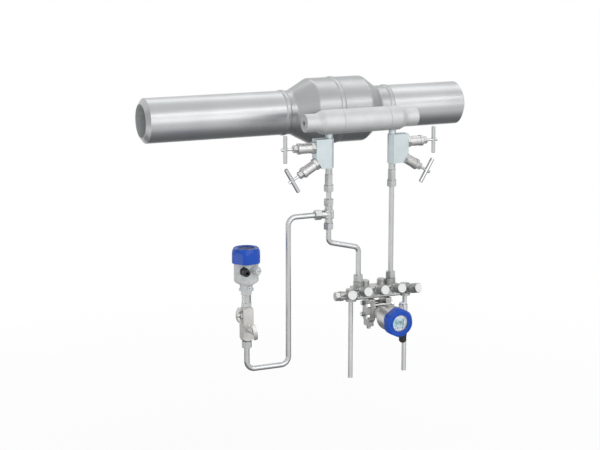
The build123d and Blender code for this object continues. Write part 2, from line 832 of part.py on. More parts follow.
def manifold_block():
    """A bar with two inlet bosses, three spot-faced valve seats and drilled passages."""
    front = manifold_front_y
    centre_y = front + manifold_depth / 2
    bar = Box(manifold_length, manifold_depth, manifold_height)
    bar = chamfer(bar.edges().filter_by(Axis.X), manifold_edge_chamfer)
    block = Pos(manifold_x, centre_y, manifold_top_z - manifold_height / 2) * bar
    for inlet_x in (manifold_x - inlet_pitch / 2, manifold_x + inlet_pitch / 2):
        boss = rod(inlet_boss_diameter, manifold_top_z, inlet_face_z)
        block += Pos(inlet_x, -pot_distance, 0) * (boss + Pos(0, 0, inlet_face_z) * spigot())
    for inlet_x in (manifold_x - inlet_pitch / 2, manifold_x + inlet_pitch / 2):
        passage = rod(tube_diameter - 2 * tube_wall, manifold_top_z - manifold_height / 2, inlet_face_z)
        block -= Pos(inlet_x, -pot_distance, 0) * (passage + Pos(0, 0, inlet_face_z) * tube_socket())
    for plug_x in plug_places():
        hole = rod(manifold_plug_shank_diameter + 2 * slip_clearance, -manifold_plug_shank_length - 1, 1)
        block -= Pos(plug_x, manifold_plug_y(), manifold_top_z) * hole
    for seat, way in head_seats()[1:4]:
        cut = rod(seat_diameter, 0, manifold_depth)
        cut += rod(head_shank_diameter + 2 * slip_clearance, -head_shank_length, 1)
        cut += rod(spindle_diameter + 2 * free_clearance, -spindle_reach - 2, 1)
        block -= placed(cut, seat, way)
    return block


def plug_places():
    return (manifold_x - manifold_plug_pitch / 2, manifold_x + manifold_plug_pitch / 2)


def manifold_plug_y():
    return -pot_distance + manifold_plug_setback


def manifold_plugs():
    """Round caps over the two flange passages."""
    piece = chamfered_rod(manifold_plug_diameter, 0, manifold_plug_height, manifold_plug_chamfer)
    piece += rod(manifold_plug_shank_diameter, -manifold_plug_shank_length, 0)
    return [Pos(x, manifold_plug_y(), manifold_top_z) * piece for x in plug_places()]


def drain_valve_body(side):
    """A round body with an arm to the manifold, an arm for the plug and a tube socket below."""
    centre = drain_centre(side)
    half = drain_body_height / 2
    inner_end = drain_offset - manifold_length / 2
    outer_end = drain_arm_outer_length
    barrel = rod(drain_barrel_diameter, -half, half)
    body = Pos(*centre) * (barrel + rod(drain_body_diameter, -half, -half + drain_foot_height))
    body += placed(rod(drain_arm_diameter, 0, inner_end), centre, (-side, 0, 0))
    body += placed(rod(drain_arm_diameter, 0, outer_end), centre, (side, 0, 0))
    seat, way = head_seats()[0 if side < 0 else 4]
    body += placed(rod(seat_diameter, -drain_seat_distance, 0), seat, way)
    cut = rod(seat_diameter, 0, drain_body_diameter)
    cut += rod(head_shank_diameter + 2 * slip_clearance, -head_shank_length, 1)
    cut += rod(spindle_diameter + 2 * free_clearance, -spindle_reach - 2, 1)
    body -= placed(cut, seat, way)
    plug_end = outer_end - drain_plug_shank_length
    plug_hole = rod(drain_plug_shank_diameter + 2 * slip_clearance, plug_end, outer_end + 1)
    body -= placed(plug_hole, centre, (side, 0, 0))
    socket = rod(drain_spigot_diameter + 2 * slip_clearance, -half - 1, -half + drain_tube_seat_depth)
    return body - Pos(*centre) * socket


def drain_plug(side):
    """A collar and a hexagon that close the outer arm of a drain valve."""
    outer_end = drain_arm_outer_length
    top = outer_end + drain_plug_collar_length
    piece = rod(drain_plug_collar_diameter, outer_end, top)
    piece += hexagon(drain_plug_hex, top, top + drain_plug_hex_length, chamfer_high=True)
    piece += rod(drain_plug_shank_diameter, outer_end - drain_plug_shank_length, outer_end)
    return placed(piece, drain_centre(side), (side, 0, 0), (0, 1, 0))


def drain_tube(side):
    """A tube with its upper end turned down to a spigot for the socket of the valve."""
    centre = drain_centre(side)
    shoulder = -drain_body_height / 2
    high = shoulder + drain_tube_seat_depth
    low = high - drain_tube_length
    pipe = rod(drain_tube_diameter, low, shoulder) + rod(drain_spigot_diameter, shoulder, high)
    pipe -= rod(drain_tube_diameter - 2 * drain_tube_wall, low - 1, high + 1)
    return Pos(*centre) * pipe


def manifold_head():
    """The fixed part of a manifold valve: shank, hexagon and neck."""
    piece = rod(head_shank_diameter, -head_shank_length, 0)
    piece += hexagon(head_hex, 0, head_hex_length, chamfer_high=True)
    piece += rod(head_neck_diameter, head_hex_length, head_length)
    return piece - rod(spindle_diameter + 2 * running_clearance, -head_shank_length - 1, head_length + 1)


def manifold_knob():
    """A ringed round knob on its spindle, with a shallow recess in its face."""
    low = head_length + knob_gap
    high = low + knob_length
    radius = knob_diameter / 2
    corners = [(0, -spindle_reach), (spindle_diameter / 2, -spindle_reach), (spindle_diameter / 2, low)]
    corners += [(radius, low)]
    for number in range(knob_groove_count):
        start = low + knob_first_groove + number * knob_groove_pitch
        corners += [(radius, start), (radius - knob_groove_depth, start + knob_groove_width / 2)]
        corners += [(radius, start + knob_groove_width)]
    corners += [(radius, high - knob_edge_chamfer), (radius - knob_edge_chamfer, high), (0, high)]
    return turned(corners)


# Differential pressure transmitter
def flange_face(x):
    return (x, cell_y, manifold_bottom_z)


def process_flange(side):
    """An upright flange with chamfered corners, bolt holes, a port and a vent hole below."""
    x = manifold_x + side * flange_pitch / 2
    half = flange_depth / 2
    cut = flange_corner_chamfer
    foot = flange_foot_height
    low = -flange_height
    outline = [(-half, 0), (half, 0), (half, low + foot + cut), (half - cut, low + foot)]
    outline += [(half - cut, low), (-half + cut, low), (-half + cut, low + foot)]
    outline += [(-half, low + foot + cut)]
    plate = extrude(Plane.YZ * make_face(Polyline(*outline, close=True)), flange_thickness / 2, both=True)
    plate = fillet(plate.edges().filter_by(Axis.X), flange_corner_round)
    plate = Pos(*flange_face(x)) * plate
    for bolt_y, bolt_z in bolt_places():
        hole = rod(bolt_diameter + 2 * free_clearance, -flange_thickness, flange_thickness)
        plate -= placed(hole, (x, bolt_y, bolt_z), downstream)
    vent = rod(vent_plug_shank_diameter + 2 * slip_clearance, -1, vent_plug_shank_length)
    return plate - Pos(x, cell_y, manifold_bottom_z - flange_height) * vent


def bolt_places():
    """Places of the four flange bolts in Y and Z."""
    steps = (-0.5, 0.5)
    return [(cell_y + a * bolt_pitch_depth, cell_z + b * bolt_pitch_height) for a in steps for b in steps]


def measuring_cell():
    """A waisted round cell between the flanges, with the neck that carries the housing."""
    half = flange_pitch / 2 - flange_thickness / 2
    rim = cell_diameter / 2
    waist = cell_waist_diameter / 2
    inner = half - cell_rim_length
    corners = [(0, -half), (rim, -half), (rim, -inner), (waist, cell_rim_slope - inner)]
    corners += [(waist, inner - cell_rim_slope), (rim, inner)]
    corners += [(rim, half), (0, half)]
    cell = placed(turned(corners), (manifold_x, cell_y, cell_z), downstream, (0, 1, 0))
    neck = rod(cell_neck_diameter, 0, cell_neck_length)
    return cell + placed(neck, (manifold_x, cell_y, cell_z), frontward)


def flange_bolts():
    """Long bolts through both flanges, with a head upstream and a nut downstream."""
    reach = flange_pitch / 2 + flange_thickness / 2
    bolt = rod(bolt_diameter, -reach, reach + bolt_head_length + bolt_end_length)
    bolt += hexagon(bolt_head_size, -reach - bolt_head_length, -reach, chamfer_low=True)
    nut = hexagon(bolt_head_size, reach, reach + bolt_head_length, chamfer_high=True)
    nut -= rod(bolt_diameter + 2 * slip_clearance, reach - 1, reach + bolt_head_length + 1)
    solids = []
    for bolt_y, bolt_z in bolt_places():
        at = (manifold_x, bolt_y, bolt_z)
        solids += [placed(piece, at, downstream, (0, 1, 0)) for piece in (bolt, nut)]
    return solids


def vent_plug(side):
    x = manifold_x + side * flange_pitch / 2
    piece = hexagon(vent_plug_diameter, -vent_plug_length, 0, chamfer_low=True)
    piece += rod(vent_plug_shank_diameter, 0, vent_plug_shank_length)
    return Pos(x, cell_y, manifold_bottom_z - flange_height) * piece


def entry_bore(length):
    """The open bore at the far end of an entry boss."""
    return rod(entry_bore_diameter + 2 * slip_clearance, length - entry_bore_depth, length + 1)


def dp_back_y():
    return cell_y - cell_neck_length


def dp_front_y():
    return dp_back_y() - dp_adapter_length - dp_shoulder_length - dp_housing_length


def housing_mouth(diameter, front):
    """The open mouth of a housing, which holds the display and screws into its cover."""
    end = front + cover_overlap
    return rod(diameter - 2 * housing_wall, end - display_thickness - display_setback, end + 1)


def dp_entries():
    """Start point and direction of the two cable entries, up and down."""
    x = manifold_x + dp_entry_offset
    y = dp_front_y() + dp_entry_setback
    return [((x, y, dp_axis_z), upward, dp_entry_rise), ((x, y, dp_axis_z), downward, dp_entry_fall)]


def dp_housing():
    """A can on its side: adapter, rounded shoulder, barrel and threaded mouth."""
    shoulder = dp_adapter_length + dp_shoulder_length
    front = shoulder + dp_housing_length
    radius = dp_housing_diameter / 2
    thread = radius - dp_thread_step
    corners = [(0, 0), (dp_adapter_diameter / 2, 0), (dp_adapter_diameter / 2, dp_adapter_length)]
    corners += [(radius, shoulder), (radius, front), (thread, front), (thread, front + cover_overlap)]
    corners += [(0, front + cover_overlap)]
    can = turned(corners, [(3, dp_shoulder_round), (2, dp_neck_round)])
    can = placed(can, (manifold_x, dp_back_y(), dp_axis_z), frontward)
    for start, way, length in dp_entries():
        can += placed(rod(dp_entry_diameter, 0, length), start, way)
    mouth = housing_mouth(dp_housing_diameter, front)
    can -= placed(mouth, (manifold_x, dp_back_y(), dp_axis_z), frontward)
    for start, way, length in dp_entries():
        can -= placed(entry_bore(length), start, way)
    return can


def faceted_cover(outer_diameter, length, thread_diameter, dome):
    """A screw cover on Z from its open end: flats around it, a window opening and a face channel."""
    radius = outer_diameter / 2
    bore = thread_diameter / 2 + cover_running_gap
    opening = window_opening_diameter / 2
    seat = window_diameter / 2 + slip_clearance
    ledge = length - window_ledge
    shelf = ledge - window_thickness - window_ring_space
    corners = [(bore, 0), (radius, 0), (radius, length - dome), (opening + cover_rim_width, length)]
    corners += [(opening, length), (opening, ledge), (seat, ledge), (seat, shelf), (bore, shelf)]
    cover = turned(corners, [(3, cover_top_round), (2, dome * cover_edge_round_share)])
    flats = RegularPolygon(radius - cover_facet_depth, cover_facets, major_radius=False)
    cover = cover & extrude(Rot(0, 0, 180 / cover_facets) * flats, length)
    return cover - face_channel(length)


def face_channel(length):
    """The channel round the window of a cover, crossed by a rib and by a boss with a hole."""
    inner = window_opening_diameter / 2 + cover_ring_width
    outer = inner + cover_channel_width
    middle = (inner + outer) / 2
    channel = rod(2 * outer, length - cover_channel_depth, length + 1) - rod(2 * inner, 0, length + 1)
    channel -= Pos(middle, 0, length) * Box(outer, cover_rib_width, 4 * cover_channel_depth)
    channel -= Pos(-middle, 0, 0) * rod(cover_boss_diameter, 0, length + 1)
    hole = rod(cover_boss_hole_diameter, length - cover_boss_hole_depth, length + 1)
    return channel + Pos(-middle, 0, 0) * hole


def dp_cover():
    thread = dp_housing_diameter - 2 * dp_thread_step
    cover = faceted_cover(dp_cover_diameter, dp_cover_length, thread, dp_cover_dome)
    cover = Rot(0, 0, dp_cover_angle) * cover
    return placed(cover, (manifold_x, dp_front_y(), dp_axis_z), frontward, (1, 0, 0))


def window(length):
    """The glass disc that lies behind the ledge of a cover."""
    high = length - window_ledge
    return rod(window_diameter, high - window_thickness, high)


def dp_window():
    return placed(window(dp_cover_length), (manifold_x, dp_front_y(), dp_axis_z), frontward)


def display_module():
    """A round display that stands in the mouth of a housing."""
    high = cover_overlap - display_setback
    return rod(display_diameter, high - display_thickness, high)


def display_modules():
    dp = placed(display_module(), (manifold_x, dp_front_y(), dp_axis_z), frontward)
    pt = placed(display_module(), (pt_x, -pot_distance, pt_housing_top_z()), upward)
    return [dp, pt]


# Pressure transmitter
def adapter_top_z():
    return pt_block_top_z + adapter_lower_hex_height + adapter_sleeve_height + adapter_upper_hex_height


def pt_housing_top_z():
    return adapter_top_z() + pt_neck_height + pt_housing_height + pt_shoulder_height


def pt_adapter():
    """Two hexagons and a sleeve between the valve block and the housing."""
    sleeve = adapter_lower_hex_height
    upper = sleeve + adapter_sleeve_height
    top = upper + adapter_upper_hex_height
    piece = hexagon(adapter_lower_hex, 0, sleeve, chamfer_high=True)
    piece += rod(adapter_sleeve_diameter, sleeve, upper)
    piece += hexagon(adapter_upper_hex, upper, top, chamfer_low=True, chamfer_high=True)
    piece += rod(adapter_shank_diameter, -adapter_shank_length, 0)
    piece -= rod(adapter_bore_diameter, -adapter_shank_length - 1, upper)
    return Pos(pt_x, -pot_distance, pt_block_top_z) * piece


def handle_places():
    """Face point, outward direction and bonnet length of the two small valves of the block."""
    half = pt_block_width / 2
    left = (pt_x - half, -pot_distance, pt_block_top_z - handle_upper_drop)
    front = (pt_x, -pot_distance - half, pt_block_top_z - handle_lower_drop)
    return [(left, upstream, upper_bonnet_length), (front, frontward, lower_bonnet_length)]


def pt_block():
    """A square bar with turned ends, two valve seats and a passage for the tube."""
    half = pt_block_width / 2
    upward_from_base = (Align.CENTER, Align.CENTER, Align.MIN)
    bar = Box(pt_block_width, pt_block_width, pt_block_height, align=upward_from_base)
    end = pt_block_corner_diameter / 2
    height = pt_block_end_height
    face = half - pt_block_end_inset
    corners = [(0, 0), (face, 0), (end, height), (end, pt_block_height - height)]
    corners += [(face, pt_block_height), (0, pt_block_height)]
    bar = bar & turned(corners)
    bar += placed(spigot(), (0, 0, 0), downward)
    bar -= placed(tube_socket(), (0, 0, 0), downward)
    bar -= rod(adapter_bore_diameter, 0, pt_block_height)
    top = pt_block_height - adapter_shank_length - 1
    bar -= rod(adapter_shank_diameter + 2 * slip_clearance, top, pt_block_height + 1)
    block = Pos(pt_x, -pot_distance, pt_block_bottom_z) * bar
    for face, way, _ in handle_places():
        seat = rod(pt_bonnet_shank_diameter + 2 * slip_clearance, -pt_bonnet_shank_length, 1)
        seat += rod(handle_spindle_diameter + 2 * free_clearance, -handle_spindle_depth - 1, 0)
        block -= placed(seat, face, way)
    return block


def pt_bonnets():
    """Screwed bonnets of the two small valves, bored for their spindles."""
    solids = []
    for face, way, length in handle_places():
        piece = hexagon(pt_bonnet_hex, 0, pt_bonnet_hex_length, chamfer_high=True)
        piece += rod(pt_bonnet_diameter, pt_bonnet_hex_length, length)
        piece += rod(pt_bonnet_shank_diameter, -pt_bonnet_shank_length, 0)
        bore_diameter = handle_spindle_diameter + 2 * running_clearance
        piece -= rod(bore_diameter, -pt_bonnet_shank_length - 1, length + 1)
        solids.append(placed(piece, face, way, downward))
    return solids


def valve_handle(number, turn):
    """A bowed lever with swept-back ends on a hub, and the spindle that turns in its bonnet."""
    face, way, bonnet_length = handle_places()[number]
    low = bonnet_length + knob_gap
    high = bonnet_length + handle_lever_rise
    half = handle_lever_length / 2
    end = high - handle_lever_bow
    thickness = handle_lever_thickness
    outer = ThreePointArc((-half, end), (0, high), (half, end))
    inner = ThreePointArc((half, end - thickness), (0, high - thickness), (-half, end - thickness))
    outline = outer + Line(outer @ 1, inner @ 0) + inner + Line(inner @ 1, outer @ 0)
    lever = extrude(Plane.XZ * make_face(outline), handle_lever_width / 2, both=True)
    lever = fillet(lever.edges().filter_by(Axis.Y), handle_lever_round)
    piece = lever + rod(handle_hub_diameter, low, high - thickness / 2)
    piece += rod(handle_spindle_diameter, -handle_spindle_depth, low)
    return placed(Rot(0, 0, turn) * piece, face, way, downward)


def pt_entries():
    """Start point, direction and length of the gland entry and the plug entry."""
    z = pt_housing_top_z() - pt_entry_drop
    turn = radians(pt_plug_turn)
    gland = ((pt_x - pt_gland_offset, -pot_distance, z), frontward, pt_gland_reach)
    plug = ((pt_x, -pot_distance, z), (sin(turn), -cos(turn), 0), pt_plug_reach)
    return [gland, plug]


def pt_housing():
    """An upright can: neck with a screw boss and lugs, rounded bottom, two entries, threaded mouth."""
    shoulder = pt_neck_height + pt_shoulder_height
    front = shoulder + pt_housing_height
    radius = pt_housing_diameter / 2
    thread = radius - pt_thread_step
    neck = pt_neck_diameter / 2
    corners = [(0, 0), (neck, 0), (neck, pt_neck_height), (radius, shoulder), (radius, front)]
    corners += [(thread, front), (thread, front + cover_overlap), (0, front + cover_overlap)]
    can = turned(corners, [(3, pt_shoulder_round), (2, pt_housing_neck_round)])
    lugs = Box(pt_lug_span, pt_lug_width, pt_lug_height)
    can += Pos(0, 0, pt_lug_height / 2) * Rot(0, 0, pt_lug_turn) * lugs
    screw_boss = rod(pt_screw_boss_diameter, 0, pt_screw_boss_reach)
    low = pt_screw_boss_reach - pt_screw_socket_depth
    screw_boss -= rod(pt_screw_socket_diameter, low, pt_screw_boss_reach + 1)
    can += placed(screw_boss, (0, 0, pt_screw_rise), frontward)
    can = Pos(pt_x, -pot_distance, adapter_top_z()) * can
    for start, way, length in pt_entries():
        can += placed(rod(pt_entry_diameter, pt_entry_root, length), start, way)
    can -= Pos(pt_x, -pot_distance, adapter_top_z()) * housing_mouth(pt_housing_diameter, front)
    for start, way, length in pt_entries():
        can -= placed(entry_bore(length), start, way)
    return can


def pt_cover():
    thread = pt_housing_diameter - 2 * pt_thread_step
    cover = faceted_cover(pt_cover_diameter, pt_cover_height, thread, pt_cover_dome)
    return Pos(pt_x, -pot_distance, pt_housing_top_z()) * Rot(0, 0, pt_cover_angle) * cover


def pt_window():
    return Pos(pt_x, -pot_distance, pt_housing_top_z()) * window(pt_cover_height)


def cable_gland():
    """A gland with a hexagon, a domed cap and a hole for the cable."""
    dome = gland_dome_diameter / 2
    corners = [(0, gland_hex_length), (dome, gland_hex_length), (dome, gland_length - gland_dome_height)]
    corners += [(gland_hole_diameter / 2 + gland_lip_width, gland_length), (0, gland_length)]
    piece = hexagon(gland_hex, 0, gland_hex_length, chamfer_low=True) + turned(corners)
    piece += rod(entry_bore_diameter, -entry_shank_length, 0)
    return piece - rod(gland_hole_diameter, -entry_shank_length - 1, gland_length + 1)


def blind_plug():
    """A round plug with a screwdriver slot."""
    slot = Box(blind_plug_slot_length, blind_plug_slot_width, blind_plug_slot_depth * 2)
    piece = chamfered_rod(blind_plug_diameter, 0, blind_plug_head, blind_plug_chamfer)
    piece += rod(entry_bore_diameter, -entry_shank_length, 0)
    return piece - Pos(0, 0, blind_plug_head) * slot


def entry_pieces(piece, entries):
    return [placed(piece, point_along(start, way, length), way) for start, way, length in entries]


# Every node and the pieces that it holds
def all_nodes():
    nodes = {}
    nodes["inlet_pipe"] = [inlet_pipe()]
    nodes["outlet_pipe"] = [outlet_pipe()]
    upstream_tap_x, downstream_tap_x = tap_places()
    body = body_half(-1, inlet_pipe_length, upstream_cone_x, upstream_barrel_x, upstream_tap_x)
    nodes["upstream_body"] = [body]
    body = body_half(1, outlet_weld_x, downstream_neck_x, downstream_cone_x, downstream_tap_x)
    nodes["downstream_body"] = [body - nozzle_relief()]
    nodes["weld_seams"] = weld_seams()
    nodes["flow_nozzle"] = [flow_nozzle()]
    nodes["pressure_taps"] = pressure_taps()
    nodes["upstream_pot"] = [pot(-1, upstream_pot_length, upstream_tap_x, upstream_stub_x)]
    nodes["downstream_pot"] = [pot(1, downstream_pot_length, downstream_tap_x, downstream_stub_x)]
    plug_ends = [(nozzle_x - upstream_pot_length, -1), (nozzle_x + downstream_pot_length, 1)]
    nodes["pot_fill_plugs"] = [fill_plug(x, side) for x, side in plug_ends]
    nodes["stub_pipes"] = [stub_pipe(x) for x in (upstream_stub_x, downstream_stub_x)]
    nodes["upstream_valve_block"] = [valve_block(upstream_stub_x, -1)]
    nodes["downstream_valve_block"] = [valve_block(downstream_stub_x, 1)]
    seats = valve_seats(upstream_stub_x, -1) + valve_seats(downstream_stub_x, 1)
    nodes["valve_bonnets"] = [placed(bonnet(), seat, way, (0, 1, 0)) for seat, way in seats]
    nodes["packing_nuts"] = [placed(packing_nut(), seat, way, (0, 1, 0)) for seat, way in seats]
    nodes["stem_packings"] = [placed(stem_packing(), seat, way, (0, 1, 0)) for seat, way in seats]
    valve_names = ("upstream_upper", "upstream_lower", "downstream_upper", "downstream_lower")
    for name, (seat, way) in zip(valve_names, seats):
        nodes[name + "_stem"] = [placed(valve_stem(), seat, way, (0, 1, 0))]
        upright = (-way[2], 0, way[0])
        nodes[name + "_t_bar"] = [placed(t_bar(), seat, way, upright)]
    nodes["weld_fittings"] = [weld_fitting(x) for x in (upstream_stub_x, downstream_stub_x)]
    nodes["tee_body"] = [tee_body()]
    nut = compression_nut()
    ring = cutting_ring()
    nodes["compression_nuts"] = [placed(nut, face, way, across_for(way)) for face, way in connections()]
    nodes["cutting_rings"] = [placed(ring, face, way, across_for(way)) for face, way in connections()]
    nodes["straight_tubes"] = [upstream_tube(), downstream_tube()]
    nodes["manifold_tube"] = [manifold_tube()]
    nodes["pressure_tube"] = [pressure_tube()]
    nodes["manifold_block"] = [manifold_block()]
    nodes["manifold_plugs"] = manifold_plugs()
    nodes["drain_valve_bodies"] = [drain_valve_body(side) for side in (-1, 1)]
    nodes["drain_plugs"] = [drain_plug(side) for side in (-1, 1)]
    nodes["drain_tubes"] = [drain_tube(side) for side in (-1, 1)]
    head = manifold_head()
    nodes["manifold_heads"] = [placed(head, seat, way, level_across(way)) for seat, way in head_seats()]
    knob_names = ["upstream_drain", "upstream_isolating", "equalizing"]
    knob_names += ["downstream_isolating", "downstream_drain"]
    for name, (seat, way) in zip(knob_names, head_seats()):
        nodes[name + "_knob"] = [placed(manifold_knob(), seat, way)]
    nodes["process_flanges"] = [process_flange(side) for side in (-1, 1)]
    nodes["measuring_cell"] = [measuring_cell()]
    nodes["flange_bolts"] = flange_bolts()
    nodes["vent_plugs"] = [vent_plug(side) for side in (-1, 1)]
    nodes["dp_housing"] = [dp_housing()]
    nodes["dp_cover"] = [dp_cover()]
    nodes["dp_window"] = [dp_window()]
    nodes["display_modules"] = display_modules()
    nodes["pt_block"] = [pt_block()]
    nodes["pt_adapter"] = [pt_adapter()]
    nodes["pt_housing"] = [pt_housing()]
    nodes["pt_cover"] = [pt_cover()]
    nodes["pt_window"] = [pt_window()]
    nodes["pt_bonnets"] = pt_bonnets()
    nodes["pt_upper_handle"] = [valve_handle(0, upper_handle_turn)]
    nodes["pt_lower_handle"] = [valve_handle(1, lower_handle_turn)]
    dp_up, dp_down = dp_entries()
    pt_gland, pt_plug = pt_entries()
    nodes["cable_glands"] = entry_pieces(cable_gland(), [dp_down, pt_gland])
    nodes["blind_plugs"] = entry_pieces(blind_plug(), [dp_up, pt_plug])
    return nodes


os.makedirs("parts", exist_ok=True)
for node_name, pieces in all_nodes().items():
    solids = [solid for piece in pieces for solid in piece.solids()]
    shape = solids[0] if len(solids) == 1 else Compound(children=solids)
    export_step(shape, f"parts/{node_name}.step")
    print(node_name, len(solids))
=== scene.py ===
# %% [markdown]
# This lesson dresses a nozzle flowmeter: a thick steel meter run, two condensate pots,
# double block valves, impulse tubes, a five-valve manifold and two transmitters. The solids
# come ready made in one shared frame, so the work here is finishes, small fittings, light
# and the camera. The solids are never moved or reshaped.

# %% Load the solids
import json
from math import atan2, pi, radians, sin, tau

import bmesh
import bpy
from mathutils import Matrix, Vector


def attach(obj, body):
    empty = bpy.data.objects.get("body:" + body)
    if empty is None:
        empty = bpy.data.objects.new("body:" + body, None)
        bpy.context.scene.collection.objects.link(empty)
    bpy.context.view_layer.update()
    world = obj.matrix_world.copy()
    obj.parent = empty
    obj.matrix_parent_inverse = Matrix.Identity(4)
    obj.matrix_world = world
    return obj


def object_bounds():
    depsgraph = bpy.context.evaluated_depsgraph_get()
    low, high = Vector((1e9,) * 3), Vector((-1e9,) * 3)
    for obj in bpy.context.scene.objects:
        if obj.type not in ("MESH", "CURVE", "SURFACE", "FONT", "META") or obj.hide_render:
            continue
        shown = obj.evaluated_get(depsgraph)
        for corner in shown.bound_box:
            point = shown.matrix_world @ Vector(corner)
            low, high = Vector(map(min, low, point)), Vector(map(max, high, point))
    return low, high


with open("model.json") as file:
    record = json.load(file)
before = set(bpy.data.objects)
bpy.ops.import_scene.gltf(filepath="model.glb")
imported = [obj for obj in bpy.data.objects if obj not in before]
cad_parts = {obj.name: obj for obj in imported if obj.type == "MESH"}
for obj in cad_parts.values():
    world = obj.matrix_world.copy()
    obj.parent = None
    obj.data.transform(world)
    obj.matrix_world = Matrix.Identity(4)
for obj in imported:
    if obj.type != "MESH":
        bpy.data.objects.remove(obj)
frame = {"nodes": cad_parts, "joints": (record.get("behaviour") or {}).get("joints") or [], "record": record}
solid_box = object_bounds()
nodes = frame["nodes"]
joints = {joint["name"]: joint for joint in frame["joints"]}
mounts = {mount["name"]: mount for mount in frame["record"]["mounts"]}

# %% [markdown]
# A drawing gives sizes in millimetres and a paint card gives colours as sRGB hex. Blender
# wants metres and linear light, so one factor and one function do the turning. A material
# could be wired by hand in the shader editor, but a script can be read and run again, so one
# more function adds a shader node with its settings and links in a single call.

# %% Lengths and colours
MM = 0.001


def linear(hex_colour):
    """An sRGB hex colour as linear red, green, blue and alpha."""
    channels = [int(hex_colour[start:start + 2], 16) / 255 for start in (1, 3, 5)]
    return [c / 12.92 if c <= 0.04045 else ((c + 0.055) / 1.055) ** 2.4 for c in channels] + [1.0]


print("a mid grey as linear light", round(linear("#808080")[0], 3))


# %% Shader nodes
def add_node(tree, kind, settings=None, links=None):
    """Add one node; a setting is an input's value where it has such an input, else a property."""
    node = tree.nodes.new(kind)
    for key, value in (settings or {}).items():
        if isinstance(key, int) or key in node.inputs:
            node.inputs[key].default_value = value
        else:
            setattr(node, key, value)
    for key, output in (links or {}).items():
        tree.links.new(output, node.inputs[key])
    return node


def new_material(name):
    """A material with its cleared node tree and its object coordinates."""
    material = bpy.data.materials.new(name)
    material.use_nodes = True
    tree = material.node_tree
    tree.nodes.clear()
    return material, tree, add_node(tree, "ShaderNodeTexCoord").outputs["Object"]


def new_surface(name, settings):
    """A material with one Principled shader; returns it with tree, shader and coordinates."""
    material, tree, place = new_material(name)
    shader = add_node(tree, "ShaderNodeBsdfPrincipled", settings)
    add_node(tree, "ShaderNodeOutputMaterial", links={"Surface": shader.outputs["BSDF"]})
    return material, tree, shader, place


# %% [markdown]
# No real surface has one flat colour and one gloss. Three helpers let a pattern vary it: two
# close tones, a gloss that wanders between two values, and a relief as high as the real
# marks. A noise keeps mostly to the middle of its range, so that middle is stretched over
# the whole range that each helper needs.

# %% Tone, gloss and relief from a pattern
noise_middle = {"From Min": 0.3, "From Max": 0.7}


def tone(tree, shader, pattern, light, dark):
    """Colour a surface with two close tones that follow a pattern."""
    share = add_node(tree, "ShaderNodeMapRange", noise_middle, {"Value": pattern})
    # A colour mix takes its share at input 0 and its colours at 6 and 7, and gives output 2
    tones = {"data_type": "RGBA", 6: linear(light), 7: linear(dark)}
    mixed = add_node(tree, "ShaderNodeMix", tones, {0: share.outputs["Result"]})
    tree.links.new(mixed.outputs[2], shader.inputs["Base Color"])


def gloss(tree, shader, pattern, smooth, rough):
    """Let the roughness wander between two values."""
    reach = {**noise_middle, "To Min": smooth, "To Max": rough}
    wander = add_node(tree, "ShaderNodeMapRange", reach, {"Value": pattern})
    tree.links.new(wander.outputs["Result"], shader.inputs["Roughness"])


def relief(tree, shader, pattern, height_mm):
    """Raise the surface by a pattern, up to a real height."""
    bump = add_node(tree, "ShaderNodeBump", {"Strength": 1.0, "Distance": height_mm * MM},
                    {"Height": pattern})
    tree.links.new(bump.outputs["Normal"], shader.inputs["Normal"])


# %% [markdown]
# Nearly everything here is stainless or low alloy steel, and what tells the pieces apart is
# how each was made. Turned and ground faces carry fine lines, blasted ones a soft grain, and
# polished tube has hardly a mark left. Each finish could be a material of its own, but one
# recipe with its own colours, roughness and line direction keeps the steels related. The
# lines are a few tenths of a millimetre on the real thing and are drawn somewhat coarser, or
# they would vanish at this distance. Inside a pipe the mill scale stays on, a dull skin that
# is hardly metallic.

# %% A recipe for worked steel
scale_metallic = 0.15
scale_edge_mm = 0.4


def worked_steel(name, light, dark, roughness, line_mm, stretch=(1, 1, 1), cloud_mm=60.0,
                 height_mm=0.004, bore_mm=None):
    """Bare steel: clouded tone, fine lines in gloss and relief; a bore along X keeps its scale."""
    material, tree, shader, place = new_surface(name, {"Metallic": 1.0, "Roughness": roughness[0]})
    cloud = add_node(tree, "ShaderNodeTexNoise", {"Scale": 1 / (cloud_mm * MM), "Detail": 2.0},
                     {"Vector": place})
    tone(tree, shader, cloud.outputs["Fac"], light, dark)
    # A small scale along an axis draws the lines out along it
    drawn = add_node(tree, "ShaderNodeMapping", {"Scale": stretch}, {"Vector": place})
    lines = add_node(tree, "ShaderNodeTexNoise", {"Scale": 1 / (line_mm * MM), "Detail": 4.0},
                     {"Vector": drawn.outputs["Vector"]})
    gloss(tree, shader, lines.outputs["Fac"], *roughness)
    relief(tree, shader, lines.outputs["Fac"], height_mm)
    if bore_mm:
        across = add_node(tree, "ShaderNodeVectorMath", {"operation": "MULTIPLY", 1: (0, 1, 1)},
                          {0: place})
        from_axis = add_node(tree, "ShaderNodeVectorMath", {"operation": "LENGTH"},
                             {0: across.outputs["Vector"]})
        bare = add_node(tree, "ShaderNodeMapRange",
                        {"From Min": bore_mm * MM, "From Max": (bore_mm + scale_edge_mm) * MM,
                         "To Min": scale_metallic}, {"Value": from_axis.outputs["Value"]})
        tree.links.new(bare.outputs["Result"], shader.inputs["Metallic"])
    return material


# %% [markdown]
# The meter run is the big mirror of the scene. Its pipes are skimmed on a lathe and then
# brushed lengthwise, which draws the light into soft long bands. The forged body between
# them stays as the lathe left it, so its lines go round. A weld bead is laid in overlapping
# pools and brushed, which leaves fine ripples across the seam and a slightly duller metal.

# %% Steels of the meter run
along_x = (0.03, 1, 1)
around_x = (1, 0.08, 0.08)
ripples = (0.3, 1, 1)
bore_edge_mm = mounts["inlet_bore"]["dims"]["r_mm"] + 0.1  # the bore's facets stay inside this

